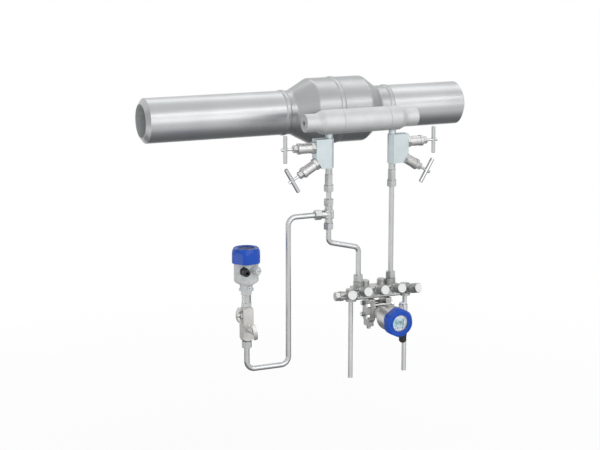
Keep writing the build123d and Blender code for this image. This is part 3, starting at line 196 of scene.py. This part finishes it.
# Skimmed and brushed pipe: satin, with long soft lines
pipe_steel = worked_steel("skimmed_pipe_steel", "#bbbdbe", "#b3b5b6", roughness=(0.34, 0.38),
                          line_mm=3.0, stretch=along_x, cloud_mm=120.0, height_mm=0.001,
                          bore_mm=bore_edge_mm)
# Turned body: the same gloss, its lines going round, and a little darker than the pipe, which is painted
# shade for its sloping cones
body_steel = worked_steel("turned_body_steel", "#abadae", "#a2a4a5", roughness=(0.33, 0.40),
                          line_mm=2.0, stretch=around_x, cloud_mm=120.0, height_mm=0.002)
# Brushed weld metal: duller, with ripples that stand up a little
weld_metal = worked_steel("brushed_weld_metal", "#b7b8b9", "#a5a6a7", roughness=(0.34, 0.46),
                          line_mm=2.5, stretch=ripples, cloud_mm=30.0, height_mm=0.05)
print("bore edge at", round(bore_edge_mm, 2), "mm")

# %% [markdown]
# The smaller steels differ in gloss first. Blasting makes the pots and the small valve block
# matt and pale, pickling leaves the milled blocks a little blue, and polished bar mirrors
# the room in one sharp line. Cast manifold parts are duller than the turned fittings and
# more clouded. A name for each number in a call says what the number does.

# %% Steels of the fittings
# Fine blasted pots: matt and pale, with hardly any direction
pot_steel = worked_steel("blasted_pot_steel", "#cacccc", "#c2c4c4", roughness=(0.56, 0.66),
                         line_mm=0.9, cloud_mm=40.0, height_mm=0.008)
# Milled valve blocks, pickled: a pale blue-grey
block_steel = worked_steel("pickled_block_steel", "#c4cdd0", "#bbc4c7", roughness=(0.42, 0.52),
                           line_mm=0.8, cloud_mm=35.0, height_mm=0.006)
# Cast and blasted block, bonnets and levers: a soft, slightly warm grain
cast_steel = worked_steel("blasted_cast_steel", "#cfcecb", "#c4c3c0", roughness=(0.44, 0.54),
                          line_mm=0.8, cloud_mm=25.0, height_mm=0.012)
# Turned bonnets and packing nuts: fine marks and a soft gloss
bonnet_steel = worked_steel("turned_bonnet_steel", "#c5c5c4", "#bababa", roughness=(0.34, 0.44),
                            line_mm=0.5, cloud_mm=25.0)
# Polished bar for stems and T-bars: nearly a mirror
polished_bar = worked_steel("polished_bar_steel", "#cdcecf", "#c5c7c8", roughness=(0.08, 0.14),
                            line_mm=0.6, cloud_mm=30.0, height_mm=0.001)
# Bright turned fittings and nuts: crisp light on their flats
fitting_steel = worked_steel("bright_fitting_steel", "#c1c3c3", "#b5b7b7", roughness=(0.20, 0.28),
                             line_mm=0.6, cloud_mm=20.0, height_mm=0.0006)
# Drawn and polished tube: even, with hardly a line left
tube_steel = worked_steel("drawn_tube_steel", "#c7c8c9", "#bebfc0", roughness=(0.24, 0.27),
                          line_mm=1.2, cloud_mm=40.0, height_mm=0.0003)
# Drain tube: the drawn tube steel made satin, so that it mirrors less of the dark side, and paler all over,
# which is painted light
satin_tube = worked_steel("satin_tube_steel_painted_pale", "#d9dadb", "#d1d2d3", roughness=(0.50, 0.56),
                          line_mm=1.2, cloud_mm=40.0, height_mm=0.001)
# Investment cast and machined manifold parts: duller and more clouded
manifold_steel = worked_steel("cast_manifold_steel", "#c2c3c1", "#b0b1af", roughness=(0.32, 0.44),
                              line_mm=0.9, cloud_mm=12.0, height_mm=0.014)
# Ringed knob barrels: the darkest steel
knob_steel = worked_steel("dark_knob_steel", "#a0a1a2", "#8c8d8e", roughness=(0.30, 0.42),
                          line_mm=0.7, cloud_mm=12.0, height_mm=0.010)
# Deep drawn transmitter housing: bright and smooth
housing_steel = worked_steel("deep_drawn_housing_steel", "#dededd", "#d6d6d5",
                             roughness=(0.30, 0.38), line_mm=0.9, cloud_mm=30.0, height_mm=0.002)
print("steels from the mattest,", pot_steel.name, "to the brightest,", polished_bar.name)

# %% [markdown]
# Powder coat is a baked resin film. Its gloss is broken by a gentle waviness called orange
# peel, a millimetre or so across, and that is what separates it from plain plastic. The
# waviness could be modelled, but a bump of its real height gives the same highlights for
# nothing. The blue covers are a little glossier than the grey housing.

# %% A recipe for powder coat
paint_mm = 25.0
peel_mm = 1.6
peel_height_mm = 0.02


def powder_coat(name, light, dark, roughness):
    """Baked paint: nearly even tone, orange peel relief and a thin clear gloss."""
    material, tree, shader, place = new_surface(name, {
        "Metallic": 0.0, "Roughness": roughness, "Specular IOR Level": 0.22, "Coat Weight": 0.2,
        "Coat Roughness": 0.10})
    cloud = add_node(tree, "ShaderNodeTexNoise", {"Scale": 1 / (paint_mm * MM), "Detail": 2.0},
                     {"Vector": place})
    tone(tree, shader, cloud.outputs["Fac"], light, dark)
    peel = add_node(tree, "ShaderNodeTexNoise", {"Scale": 1 / (peel_mm * MM), "Detail": 1.0},
                    {"Vector": place})
    relief(tree, shader, peel.outputs["Fac"], peel_height_mm)
    return material


# Deep blue covers and a pale grey housing: soft highlights, broken by the peel
cover_blue = powder_coat("blue_powder_coat", "#0a4ab2", "#0a44a6", 0.30)
housing_grey = powder_coat("light_grey_powder_coat", "#c2c5c6", "#b7bbbc", 0.36)
print("paints", cover_blue.name, housing_grey.name)

# %% [markdown]
# Plastics come next: black polyamide glands with a slightly rough moulded skin, white ABS
# display faces, white nylon knob caps and the liquid crystal panel, which glows a little as a
# display lit from behind does; the glow is also painted light that lifts the panel out of the
# shade of its recessed window. Graphite packing is nearly black with a dull sheen. A fine
# noise in tone, gloss and relief keeps each from looking like flat colour.

# %% A recipe for moulded pieces
gloss_wander = 0.05


def moulded(name, light, dark, roughness, grain_mm, height_mm=0.01, glow=0.0):
    """Moulded plastic or pressed powder with a fine grain; glow is painted light, an emission in its own
    colour.
    """
    settings = {"Metallic": 0.0, "Roughness": roughness}
    if glow:
        settings.update({"Emission Color": linear(light), "Emission Strength": glow})
    material, tree, shader, place = new_surface(name, settings)
    grain = add_node(tree, "ShaderNodeTexNoise", {"Scale": 1 / (grain_mm * MM), "Detail": 3.0},
                     {"Vector": place})
    tone(tree, shader, grain.outputs["Fac"], light, dark)
    gloss(tree, shader, grain.outputs["Fac"], roughness - gloss_wander, roughness + gloss_wander)
    relief(tree, shader, grain.outputs["Fac"], height_mm)
    return material


# Black polyamide: soft highlights on nearly no colour
gland_black = moulded("black_polyamide", "#1b1c1f", "#131417", 0.38, grain_mm=0.8)
# White ABS and nylon: clean and pale, the nylon a little greyer and softer
cap_white = moulded("white_abs", "#f2f3f3", "#eaebeb", 0.35, grain_mm=0.8, height_mm=0.004)
knob_white = moulded("white_nylon", "#e0e1e1", "#d7d8d8", 0.40, grain_mm=0.8, height_mm=0.004)
# Liquid crystal panel and its dark marks: even and smooth; the panel's faint glow is painted light against
# the shade of its recess
panel_cyan = moulded("liquid_crystal_panel", "#9fd2dc", "#98cbd5", 0.30, grain_mm=1.2,
                     height_mm=0.001, glow=0.12)
ink_dark = moulded("dark_liquid_crystal", "#16191c", "#121518", 0.35, grain_mm=1.0, height_mm=0.001)
# Printed key symbols: flat, dull and deep blue
ink_blue = moulded("blue_printing_ink", "#1f3f9c", "#1b3890", 0.45, grain_mm=1.0, height_mm=0.001)
# Pressed graphite: nearly black, with a dull sheen
graphite = moulded("pressed_graphite", "#2a2a2c", "#1f1f21", 0.55, grain_mm=0.6)
print("moulded", gland_black.name, cap_white.name, knob_white.name, graphite.name)

# %% [markdown]
# The windows are toughened glass. Real refraction would hide the display behind noise at this
# size, so the glass is nearly clear and keeps only its reflection.

# %% Window glass
window_glass, _, _, _ = new_surface("toughened_glass", {
    "Base Color": linear("#eef6f8"), "Roughness": 0.04, "IOR": 1.5, "Specular IOR Level": 0.2,
    "Alpha": 0.10})
print("glass", window_glass.name)

# %% [markdown]
# A part list says which finish each piece gets, as a workshop drawing does. The finishes
# could be assigned piece by piece, but one table read from finish to pieces shows at once
# that each solid has its own and none is left plain.

# %% Give each solid its finish
knob_names = ("upstream_drain", "upstream_isolating", "equalizing", "downstream_isolating",
              "downstream_drain")
valve_names = ("upstream_upper", "upstream_lower", "downstream_upper", "downstream_lower")
finishes = {
    pipe_steel: ["inlet_pipe", "outlet_pipe"],
    body_steel: ["upstream_body", "downstream_body", "flow_nozzle"],
    weld_metal: ["weld_seams"],
    pot_steel: ["upstream_pot", "downstream_pot", "pressure_taps"],
    block_steel: ["upstream_valve_block", "downstream_valve_block", "stub_pipes"],
    bonnet_steel: ["valve_bonnets", "packing_nuts", "pot_fill_plugs"],
    graphite: ["stem_packings"],
    polished_bar: [name + part for name in valve_names for part in ("_stem", "_t_bar")]
                  + ["flange_bolts", "blind_plugs"],
    fitting_steel: ["weld_fittings", "tee_body", "compression_nuts", "cutting_rings", "pt_adapter",
                    "vent_plugs"],
    cast_steel: ["pt_block", "pt_bonnets", "pt_upper_handle", "pt_lower_handle"],
    tube_steel: ["straight_tubes", "manifold_tube", "pressure_tube"],
    satin_tube: ["drain_tubes"],
    manifold_steel: ["manifold_block", "manifold_plugs", "manifold_heads", "drain_valve_bodies",
                     "drain_plugs", "process_flanges", "measuring_cell"],
    knob_steel: [name + "_knob" for name in knob_names],
    housing_steel: ["dp_housing"],
    housing_grey: ["pt_housing"],
    cover_blue: ["dp_cover", "pt_cover"],
    window_glass: ["dp_window", "pt_window"],
    cap_white: ["display_modules"],
    gland_black: ["cable_glands"],
}
for material, names in finishes.items():
    for name in names:
        nodes[name].data.materials.clear()
        nodes[name].data.materials.append(material)
print("dressed", sum(len(names) for names in finishes.values()), "of", len(nodes))

# %% [markdown]
# Small pieces are modelled lying on the Z axis and then carried to their place in the mesh
# itself, so that every object stays at the origin as the solids do. A joint of the model gives
# an axis, and the furthest vertex of a solid along it gives the face a small piece sits on.

# %% Objects that ride on a body
doubles_within = 0.001 * MM


def new_object(name, shape, material):
    """Turn a bmesh into an object at the origin."""
    mesh = bpy.data.meshes.new(name)
    shape.to_mesh(mesh)
    shape.free()
    mesh.materials.append(material)
    piece = bpy.data.objects.new(name, mesh)
    bpy.context.scene.collection.objects.link(piece)
    return piece


def finish_piece(name, shape, material, body):
    """Close a bmesh, turn its faces outwards and let it ride on a body."""
    bmesh.ops.remove_doubles(shape, verts=shape.verts, dist=doubles_within)
    bmesh.ops.recalc_face_normals(shape, faces=shape.faces)
    piece = new_object(name, shape, material)
    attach(piece, body)


# %% Carrying a piece to its seat
UP, DOWN = Vector((0, 0, 1)), Vector((0, 0, -1))
BACK, FRONT = Vector((0, 1, 0)), Vector((0, -1, 0))


def carry(shape, verts, at, toward, upright=UP):
    """Move vertices modelled on Z so that Z points toward and Y stays as upright as it can."""
    z = toward.normalized()
    x = upright.cross(z).normalized()
    turn = Matrix((x, z.cross(x), z)).transposed().to_4x4()
    bmesh.ops.transform(shape, matrix=Matrix.Translation(at) @ turn, verts=verts)


def seat_piece(name, shape, material, body, at, toward, upright=UP):
    """Carry a whole bmesh to its seat and finish it."""
    carry(shape, shape.verts, at, toward, upright)
    finish_piece(name, shape, material, body)


# %% Lines and faces to place them by
def joint_line(name):
    """A point and a direction on a joint's axis."""
    return Vector(joints[name]["pos_m"]), Vector(joints[name]["axis"]).normalized()


def outer_face(node, origin, axis, within=40 * MM):
    """How far a solid reaches along an axis, counting only what lies close to it."""
    reach = []
    for vertex in nodes[node].data.vertices:
        arm = vertex.co - origin
        along = arm.dot(axis)
        if (arm - axis * along).length < within:
            reach.append(along)
    return max(reach)


knob_face = outer_face("equalizing_knob", *joint_line("equalizing_turn"))
print("middle knob's face", round(knob_face / MM, 1), "mm along its axis")

# %% [markdown]
# Each manifold knob ends in a white moulded cap. On the real knob the cap clips into the
# barrel and hides the spindle screw. It is a low disc with a rounded rim and a shallow dish.
# It could be spun from a section, but a circle that is extruded, bevelled and inset takes
# three operators and gives every edge its own size.

# %% Prisms and discs
disc_corners = 48
round_segments = 3


def prism(shape, radius, corners, low, high):
    """A closed prism on Z, in metres; returns its vertices and its upper edges."""
    bottom = bmesh.ops.create_circle(shape, cap_ends=True, radius=radius, segments=corners)["verts"]
    face = next(iter(set.intersection(*(set(vert.link_faces) for vert in bottom))))
    grown = bmesh.ops.extrude_face_region(shape, geom=[face], use_keep_orig=True)["geom"]
    top = [item for item in grown if isinstance(item, bmesh.types.BMVert)]
    rim = [item for item in grown if isinstance(item, bmesh.types.BMEdge)]
    bmesh.ops.translate(shape, vec=(0, 0, low), verts=bottom)
    bmesh.ops.translate(shape, vec=(0, 0, high), verts=top)
    return bottom + top, rim


def disc(shape, radius, low, high, edge):
    """A solid disc from low to high on Z with a rounded upper edge, in millimetres."""
    _, rim = prism(shape, radius * MM, disc_corners, low * MM, high * MM)
    bmesh.ops.bevel(shape, geom=rim, offset=edge * MM, segments=round_segments, profile=0.5,
                    affect="EDGES", material=-1)


# %% Knob caps
cap_radius, cap_height, cap_edge = 13.4, 1.4, 0.6
dish_inset, dish_depth = 2.6, 0.5
for knob_name in knob_names:
    origin, axis = joint_line(knob_name + "_turn")
    cap = bmesh.new()
    disc(cap, cap_radius, 0, cap_height, cap_edge)
    top = max(cap.faces, key=lambda face: face.calc_center_median().z)
    bmesh.ops.inset_individual(cap, faces=[top], thickness=dish_inset * MM, depth=-dish_depth * MM)
    seat = origin + axis * outer_face(knob_name + "_knob", origin, axis)
    seat_piece(knob_name + "_cap", cap, knob_white, knob_name + "_valve",
               seat, axis)
print("knob caps", len(knob_names))

# %% [markdown]
# Behind each window sits a display: a white bezel that comes close to the glass, and on it a
# liquid crystal panel with digits, a bar graph and a row of four keys below. The marks could
# be painted on the panel by a texture, but a thin raised shape stays sharp from any distance,
# so the digits are plain seven-segment figures made of small slabs.

# %% Slabs and figures
slab_corner_segments = 4
figure_width, figure_stroke = 0.5, 0.24  # shares of a figure's height
figure_segments = {2: "abged", 5: "afgcd", 8: "abcdefg"}


def slab(shape, centre, size, low, high, corner=0.0):
    """A flat block with rounded upright edges, in millimetres."""
    made = bmesh.ops.create_cube(shape, size=1.0)["verts"]
    bmesh.ops.scale(shape, vec=(size[0] * MM, size[1] * MM, (high - low) * MM), verts=made)
    bmesh.ops.translate(shape, vec=[c * MM for c in (*centre, (low + high) / 2)], verts=made)
    if corner:
        upright = [edge for edge in {e for vert in made for e in vert.link_edges}
                   if abs(edge.verts[0].co.z - edge.verts[1].co.z) > 0.5 * (high - low) * MM]
        bmesh.ops.bevel(shape, geom=upright, offset=corner * MM, segments=slab_corner_segments,
                        profile=0.5, affect="EDGES", material=-1)


def figure(shape, number, centre, height, low, high):
    """A seven-segment figure, its bars lettered a to g as on a data sheet."""
    width, stroke, half = height * figure_width, height * figure_stroke, height / 2
    side, level = width / 2, half / 2
    bars = {"a": (0, half, width, stroke), "g": (0, 0, width, stroke),
            "d": (0, -half, width, stroke), "f": (-side, level, stroke, half),
            "b": (side, level, stroke, half), "e": (-side, -level, stroke, half),
            "c": (side, -level, stroke, half)}
    for letter in figure_segments[number]:
        x, y, wide, tall = bars[letter]
        slab(shape, (centre[0] + x, centre[1] + y), (wide, tall), low, high)


# %% Sizes of the display
bezel_radius, bezel_height, bezel_edge = 27.0, 7.6, 0.6
panel_size, panel_thickness, panel_corner = (32.0, 23.5), 0.8, 1.2
mark_thickness = 0.25
figure_height, figure_y = 8.6, 0.6
figure_places = ((5, -9.5), (2, -2.2), (8, 5.1))
marks = {  # centre and size on the panel
    "decimal point": ((1.4, -4.1), (1.5, 1.5)),
    "upper line": ((-9.0, 9.2), (8.0, 1.4)),
    "lower line": ((-9.5, -8.9), (7.0, 1.4)),
    "unit": ((5.0, -8.0), (5.0, 1.4)),
    "bar graph": ((12.9, -0.2), (3.4, 19.0)),
}
key_corners = (3, 24, 3, 24)
key_radius, key_pitch, key_y = 2.6, 7.0, -15.8
print("figures", len(figure_places), "marks", len(marks), "keys", len(key_corners))


# %% Two displays
def display(prefix, joint_name, upright):
    """Bezel, panel, marks and keys on the face of one display module."""
    origin, axis = joint_line(joint_name)
    seat = origin + axis * outer_face("display_modules", origin, axis)
    bezel = bmesh.new()
    disc(bezel, bezel_radius, 0, bezel_height, bezel_edge)
    panel = bmesh.new()
    slab(panel, (0, 0), panel_size, 0, panel_thickness, panel_corner)
    ink = bmesh.new()
    ink_top = panel_thickness + mark_thickness
    for number, x in figure_places:
        figure(ink, number, (x, figure_y), figure_height, panel_thickness, ink_top)
    for centre, size in marks.values():
        slab(ink, centre, size, panel_thickness, ink_top)
    keys = bmesh.new()
    middle_key = (len(key_corners) - 1) / 2
    for number, corners in enumerate(key_corners):
        key, _ = prism(keys, key_radius * MM, corners, 0, mark_thickness * MM)
        x = (number - middle_key) * key_pitch * MM
        bmesh.ops.translate(keys, vec=(x, key_y * MM, 0), verts=key)
    face = seat + axis * bezel_height * MM
    for part, shape, material, at in (
            ("_bezel", bezel, cap_white, seat), ("_panel", panel, panel_cyan, face),
            ("_marks", ink, ink_dark, face), ("_keys", keys, ink_blue, face)):
        seat_piece(prefix + part, shape, material, "root", at, axis, upright)


upright_of = {"dp": UP, "pt": BACK}
for prefix, upright in upright_of.items():
    display(prefix + "_display", prefix + "_cover_turn", upright)
print("displays", len(upright_of))

# %% [markdown]
# The stub pipes, taps and nipples are joined by fillet welds. Each is a bead that runs round
# the pipe and follows the surface it meets, so on a pot or on the meter body its ring dips at
# the sides. A torus would lie flat, so a small circle is spun round the pipe and its vertices
# are lowered onto the curve. A welder leaves overlapping pools, which show as fine ripples.

# %% A fillet weld
bead_corners = 12
bead_steps = 72
bead_pools = 18
pool_height = 0.08  # share of the bead's radius


def fillet_weld(shape, pipe_radius, bead_radius, at, toward, upright, onto_radius=None):
    """A bead round a pipe on Z, in millimetres; onto_radius is a cylinder along X it sits on."""
    made = bmesh.ops.create_circle(shape, radius=bead_radius * MM, segments=bead_corners)
    section = made["verts"]
    bmesh.ops.rotate(shape, verts=section, cent=(0, 0, 0), matrix=Matrix.Rotation(pi / 2, 3, "X"))
    bmesh.ops.translate(shape, verts=section, vec=(pipe_radius * MM, 0, 0))
    edges = list({edge for vert in section for edge in vert.link_edges})
    before = set(shape.verts) - set(section)
    bmesh.ops.spin(shape, geom=section + edges, cent=(0, 0, 0), axis=(0, 0, 1), angle=tau,
                   steps=bead_steps, use_merge=True, use_duplicate=False)
    ring = [vert for vert in shape.verts if vert not in before]
    for vert in ring:
        turn = atan2(vert.co.y, vert.co.x)
        heart = Vector((vert.co.x, vert.co.y, 0)).normalized() * pipe_radius * MM
        vert.co = heart + (vert.co - heart) * (1 + pool_height * abs(sin(turn * bead_pools / 2)))
        if onto_radius:
            side = heart.y / MM
            vert.co.z -= (onto_radius - (onto_radius ** 2 - side ** 2) ** 0.5) * MM
    carry(shape, ring, at, toward, upright)


# %% Ten fillet welds
# Places are in metres, radii in millimetres
pot_y, pot_radius, body_radius = -0.231, 35.5, 100.0
stub_places, stub_radius = (0.495, 0.701), 10.65
tap_places, tap_radius = (0.562, 0.654), 13.45
block_top, block_bottom = -0.048, -0.134
stub_bead, top_bead, bottom_bead = 1.6, 1.4, 1.2
body_bead, pot_bead = 2.6, 2.0
welds = bmesh.new()
for x in stub_places:
    fillet_weld(welds, stub_radius, stub_bead, (x, pot_y, -pot_radius * MM), DOWN, BACK, pot_radius)
    fillet_weld(welds, stub_radius, top_bead, (x, pot_y, block_top), UP, BACK)
    fillet_weld(welds, stub_radius, bottom_bead, (x, pot_y, block_bottom), DOWN, BACK)
for x in tap_places:
    fillet_weld(welds, tap_radius, body_bead, (x, -body_radius * MM, 0), FRONT, UP, body_radius)
    fillet_weld(welds, tap_radius, pot_bead, (x, pot_y + pot_radius * MM, 0), BACK, UP, pot_radius)
for face in welds.faces:
    face.smooth = True
print("weld faces", len(welds.faces))
finish_piece("fillet_welds", welds, weld_metal, "root")

# %% [markdown]
# A cable gland's cap is turned by hand first, so it carries ribs along its side. They could be
# cut by a boolean, but twenty small slabs turned round the axis and sunk in the cap look the
# same and stay clean.

# %% Gland ribs
gland_radius = 10.5
rib_count, rib_section, rib_corner = 20, (1.3, 1.5), 0.3
rib_start, rib_end = -20.5, -5.5
for prefix in ("dp", "pt"):
    entry = mounts[prefix + "_cable_entry"]
    out = Vector(entry["axis"])
    ribs = bmesh.new()
    for number in range(rib_count):
        known = set(ribs.verts)
        slab(ribs, (gland_radius, 0), rib_section, rib_start, rib_end, rib_corner)
        added = [vert for vert in ribs.verts if vert not in known]
        turn = Matrix.Rotation(tau * number / rib_count, 3, "Z")
        bmesh.ops.rotate(ribs, verts=added, cent=(0, 0, 0), matrix=turn)
    upright = BACK if abs(out.z) > 0.5 else UP
    seat_piece(prefix + "_gland_ribs", ribs, gland_black, "root",
               Vector(entry["pos_m"]), out, upright)
print("ribs on each gland", rib_count)

# %% [markdown]
# The spare entry of the differential pressure transmitter is still closed by the white cap it
# was shipped with, which has a blue centre. Two low discs lie on the plug's top face.

# %% Transport cap
plug_reach = 16 * MM
lid_radius, lid_height, lid_edge = 9.0, 1.2, 0.5
centre_radius, centre_top, centre_edge = 4.0, 1.9, 0.3
plug_line = Vector(mounts["dp_cable_entry"]["pos_m"])
plug_top = plug_line + UP * outer_face("blind_plugs", plug_line, UP, plug_reach)
lid = bmesh.new()
disc(lid, lid_radius, 0, lid_height, lid_edge)
seat_piece("transport_cap", lid, cap_white, "root", plug_top, UP, BACK)
centre = bmesh.new()
disc(centre, centre_radius, lid_height, centre_top, centre_edge)
seat_piece("transport_cap_centre", centre, cover_blue, "root", plug_top, UP, BACK)
print("plug's top face at", round(plug_top.z, 4))

# %% [markdown]
# A product shot like this stands in a white room. The room and the floor look white to the
# camera and in mirrored rays, while the object itself is lit by a softer level and by soft
# boxes. More light could whiten the background too, but it would burn out the steel. The
# meter hangs from its pipe, so the floor lies well below it, and the floor's matt share is
# what still carries the shadow.

# %% What a ray sees as background
def seen_as_background(tree):
    """One where a ray comes from the camera, a mirror or through glass, else zero."""
    path = add_node(tree, "ShaderNodeLightPath")
    seen = add_node(tree, "ShaderNodeMath", {"operation": "MAXIMUM"},
                    {0: path.outputs["Is Camera Ray"], 1: path.outputs["Is Glossy Ray"]})
    seen = add_node(tree, "ShaderNodeMath", {"operation": "MAXIMUM"},
                    {0: seen.outputs["Value"], 1: path.outputs["Is Transmission Ray"]})
    return seen.outputs["Value"]


# %% Floor material
low, high = solid_box
middle = (low + high) / 2
white_from, white_to = 0.7, 2.6  # metres from the object's middle
white_near, white_far = 0.86, 1.0  # the share of white there


def floor_material():
    """Pale matt floor that fades to pure white away from the object."""
    material, tree, place = new_material("pale_studio_floor")
    centred = add_node(tree, "ShaderNodeMapping", {"Location": (-middle.x, -middle.y, 0)},
                       {"Vector": place})
    flat = add_node(tree, "ShaderNodeVectorMath", {"operation": "MULTIPLY", 1: (1, 1, 0)},
                    {0: centred.outputs["Vector"]})
    away = add_node(tree, "ShaderNodeVectorMath", {"operation": "LENGTH"},
                    {0: flat.outputs["Vector"]})
    fade = add_node(tree, "ShaderNodeMapRange",
                    {"From Min": white_from, "From Max": white_to, "To Min": white_near,
                     "To Max": white_far}, {"Value": away.outputs["Value"]})
    share = add_node(tree, "ShaderNodeMath", {"operation": "MULTIPLY"},
                     {0: fade.outputs["Result"], 1: seen_as_background(tree)})
    matt = add_node(tree, "ShaderNodeBsdfDiffuse", {"Color": linear("#f6f6f6")})
    white = add_node(tree, "ShaderNodeEmission", {"Color": (1, 1, 1, 1), "Strength": 1.0})
    mixed = add_node(tree, "ShaderNodeMixShader", links={
        0: share.outputs["Value"], 1: matt.outputs["BSDF"], 2: white.outputs["Emission"]})
    add_node(tree, "ShaderNodeOutputMaterial", links={"Surface": mixed.outputs["Shader"]})
    return material


# %% Floor
floor_drop = 400 * MM
floor_reach = 14.0


def stage_plane(name, size, at, toward, material):
    """A flat sheet of the studio, which is not part of the object."""
    shape = bmesh.new()
    made = bmesh.ops.create_grid(shape, x_segments=1, y_segments=1, size=0.5)["verts"]
    bmesh.ops.scale(shape, vec=(size[0], size[1], 1), verts=made)
    turn = Vector(toward).to_track_quat("Z", "Y").to_matrix().to_4x4()
    bmesh.ops.transform(shape, matrix=Matrix.Translation(at) @ turn, verts=made)
    sheet = new_object(name, shape, material)
    return sheet


floor_place = (middle.x, middle.y, low.z - floor_drop)
stage_plane("studio_floor", (2 * floor_reach, 2 * floor_reach), floor_place, UP, floor_material())
print("floor at", round(floor_place[2], 3))

# %% [markdown]
# The room's own light is no even dome, which would leave steel without shape. It is brighter
# from the front left, where the camera stands, and fades toward the back.

# %% Room light
bright_side = (-0.35, -0.75, 0.3)
facing_from, facing_to = -0.9, 0.9
room_dark, room_bright = 0.30, 0.95

world = bpy.data.worlds.new("studio_room")
bpy.context.scene.world = world
world.use_nodes = True
tree = world.node_tree
tree.nodes.clear()
direction = add_node(tree, "ShaderNodeTexCoord").outputs["Generated"]
facing = add_node(tree, "ShaderNodeVectorMath", {"operation": "DOT_PRODUCT", 1: bright_side},
                  {0: direction})
room_level = add_node(tree, "ShaderNodeMapRange",
                      {"From Min": facing_from, "From Max": facing_to, "To Min": room_dark,
                       "To Max": room_bright}, {"Value": facing.outputs["Value"]})
# A number mix takes its share at input 0 and its numbers at 2 and 3, and gives output 0
level = add_node(tree, "ShaderNodeMix", {"data_type": "FLOAT", 3: 1.0},
                 {0: seen_as_background(tree), 2: room_level.outputs["Result"]})
background = add_node(tree, "ShaderNodeBackground", {"Color": (1, 1, 1, 1)},
                      {"Strength": level.outputs[0]})
add_node(tree, "ShaderNodeOutputWorld", links={"Surface": background.outputs["Background"]})
print("room light from", room_dark, "to", room_bright)

# %% [markdown]
# Bare steel in an all white room looks flat, so photographers lay and hang grey cards where
# the steel can mirror them. Here one lies on the floor, a middle grey under the object and
# paler toward its front edge, for the shade along the pipe's belly. Two more stand upright
# at the sides, for the soft edges of the tubes. They show in mirrored rays only.

# %% Grey cards
def card_material(name, near, far, from_y=0.0, to_y=1.0):
    """A card that is only ever mirrored; its grey goes from near to far along Y."""
    material, tree, place = new_material(name)
    y = add_node(tree, "ShaderNodeSeparateXYZ", links={0: place}).outputs["Y"]
    fade = add_node(tree, "ShaderNodeMapRange", {"From Min": from_y, "From Max": to_y},
                    {"Value": y})
    greys = {"data_type": "RGBA", 6: linear(near), 7: linear(far)}
    grey = add_node(tree, "ShaderNodeMix", greys, {0: fade.outputs["Result"]})
    glow = add_node(tree, "ShaderNodeEmission", {"Strength": 1.0}, {"Color": grey.outputs[2]})
    add_node(tree, "ShaderNodeOutputMaterial", links={"Surface": glow.outputs["Emission"]})
    return material


shade = card_material("shading_card", "#7c7d7e", "#e4e4e4", from_y=-0.2, to_y=-1.3)
side_grey = card_material("side_card", "#a4a5a6", "#a4a5a6")
above_floor = low.z - floor_drop + 2 * MM
cards = {  # size, place, the way it faces and its material
    "belly_card": ((4.4, 2.7), (0.9, 0.05, above_floor), (0, 0, 1), shade),
    "left_card": ((0.9, 3.2), (-3.0, 0.2, 0.2), (1, 0, 0), side_grey),
    "right_card": ((0.9, 3.2), (3.2, -2.6, 0.2), (-0.77, 0.64, 0), side_grey),
}
for name, (size, at, toward, material) in cards.items():
    card = stage_plane(name, size, at, toward, material)
    card.visible_camera = False
    card.visible_diffuse = False
    card.visible_transmission = False
    card.visible_shadow = False
print("cards", len(cards))

# %% [markdown]
# The soft boxes are area lights, each given by where it hangs, its size and the brightness of
# its cloth. Blender asks for watts, and a flat light of that brightness needs pi times its
# area times the brightness. The front box draws the upper light on the pipe and the low box
# widens it downward, the top box lifts the upper edges from behind, the left box fills the
# weld end, and the small strip near the floor lights the left flats of the covers.

# %% Soft boxes
soft_boxes = {  # place, width, height and brightness
    "front_box": ((1.5, -3.4, 2.0), 5.2, 0.75, 2.6),
    "low_box": ((1.5, -4.9, 0.35), 6.0, 1.5, 1.5),
    "top_box": ((1.8, 1.1, 2.9), 4.4, 1.1, 1.3),
    "left_box": ((-3.2, -1.4, 0.6), 1.2, 1.6, 0.35),
    "left_strip": ((-2.4, -0.35, -1.03), 0.7, 0.25, 3.0),
}
for name, (at, width, height, brightness) in soft_boxes.items():
    data = bpy.data.lights.new(name, "AREA")
    data.shape = "RECTANGLE"
    data.size = width
    data.size_y = height
    data.energy = brightness * pi * width * height
    light = bpy.data.objects.new(name, data)
    light.location = at
    light.rotation_euler = (Vector(at) - middle).to_track_quat("Z", "Y").to_euler()
    bpy.context.scene.collection.objects.link(light)
print("soft boxes", len(soft_boxes))

# %% [markdown]
# The camera was found by matching corners and ends of the meter run, the pots and the tube
# legs with the photograph. It stands at the left front, a little higher than the meter run,
# and looks slightly down. The long lens keeps the pipe's two ends nearly the same size.

# %% Camera
camera_place = Vector((-1.3401, -4.2028, 0.6406))
camera_yaw, camera_pitch = 23.7, 12.2
camera_lens, camera_sensor = 91.5, 36.0
camera_data = bpy.data.cameras.new("camera")
camera_data.sensor_width = camera_sensor
camera_data.lens = camera_lens
camera = bpy.data.objects.new("camera", camera_data)
camera.location = camera_place
camera.rotation_euler = (radians(90 - camera_pitch), 0, radians(-camera_yaw))
bpy.context.scene.collection.objects.link(camera)
bpy.context.scene.camera = camera
bpy.context.scene.view_settings.view_transform = "Standard"
print("camera", round((camera_place - middle).length, 2), "m from the object")
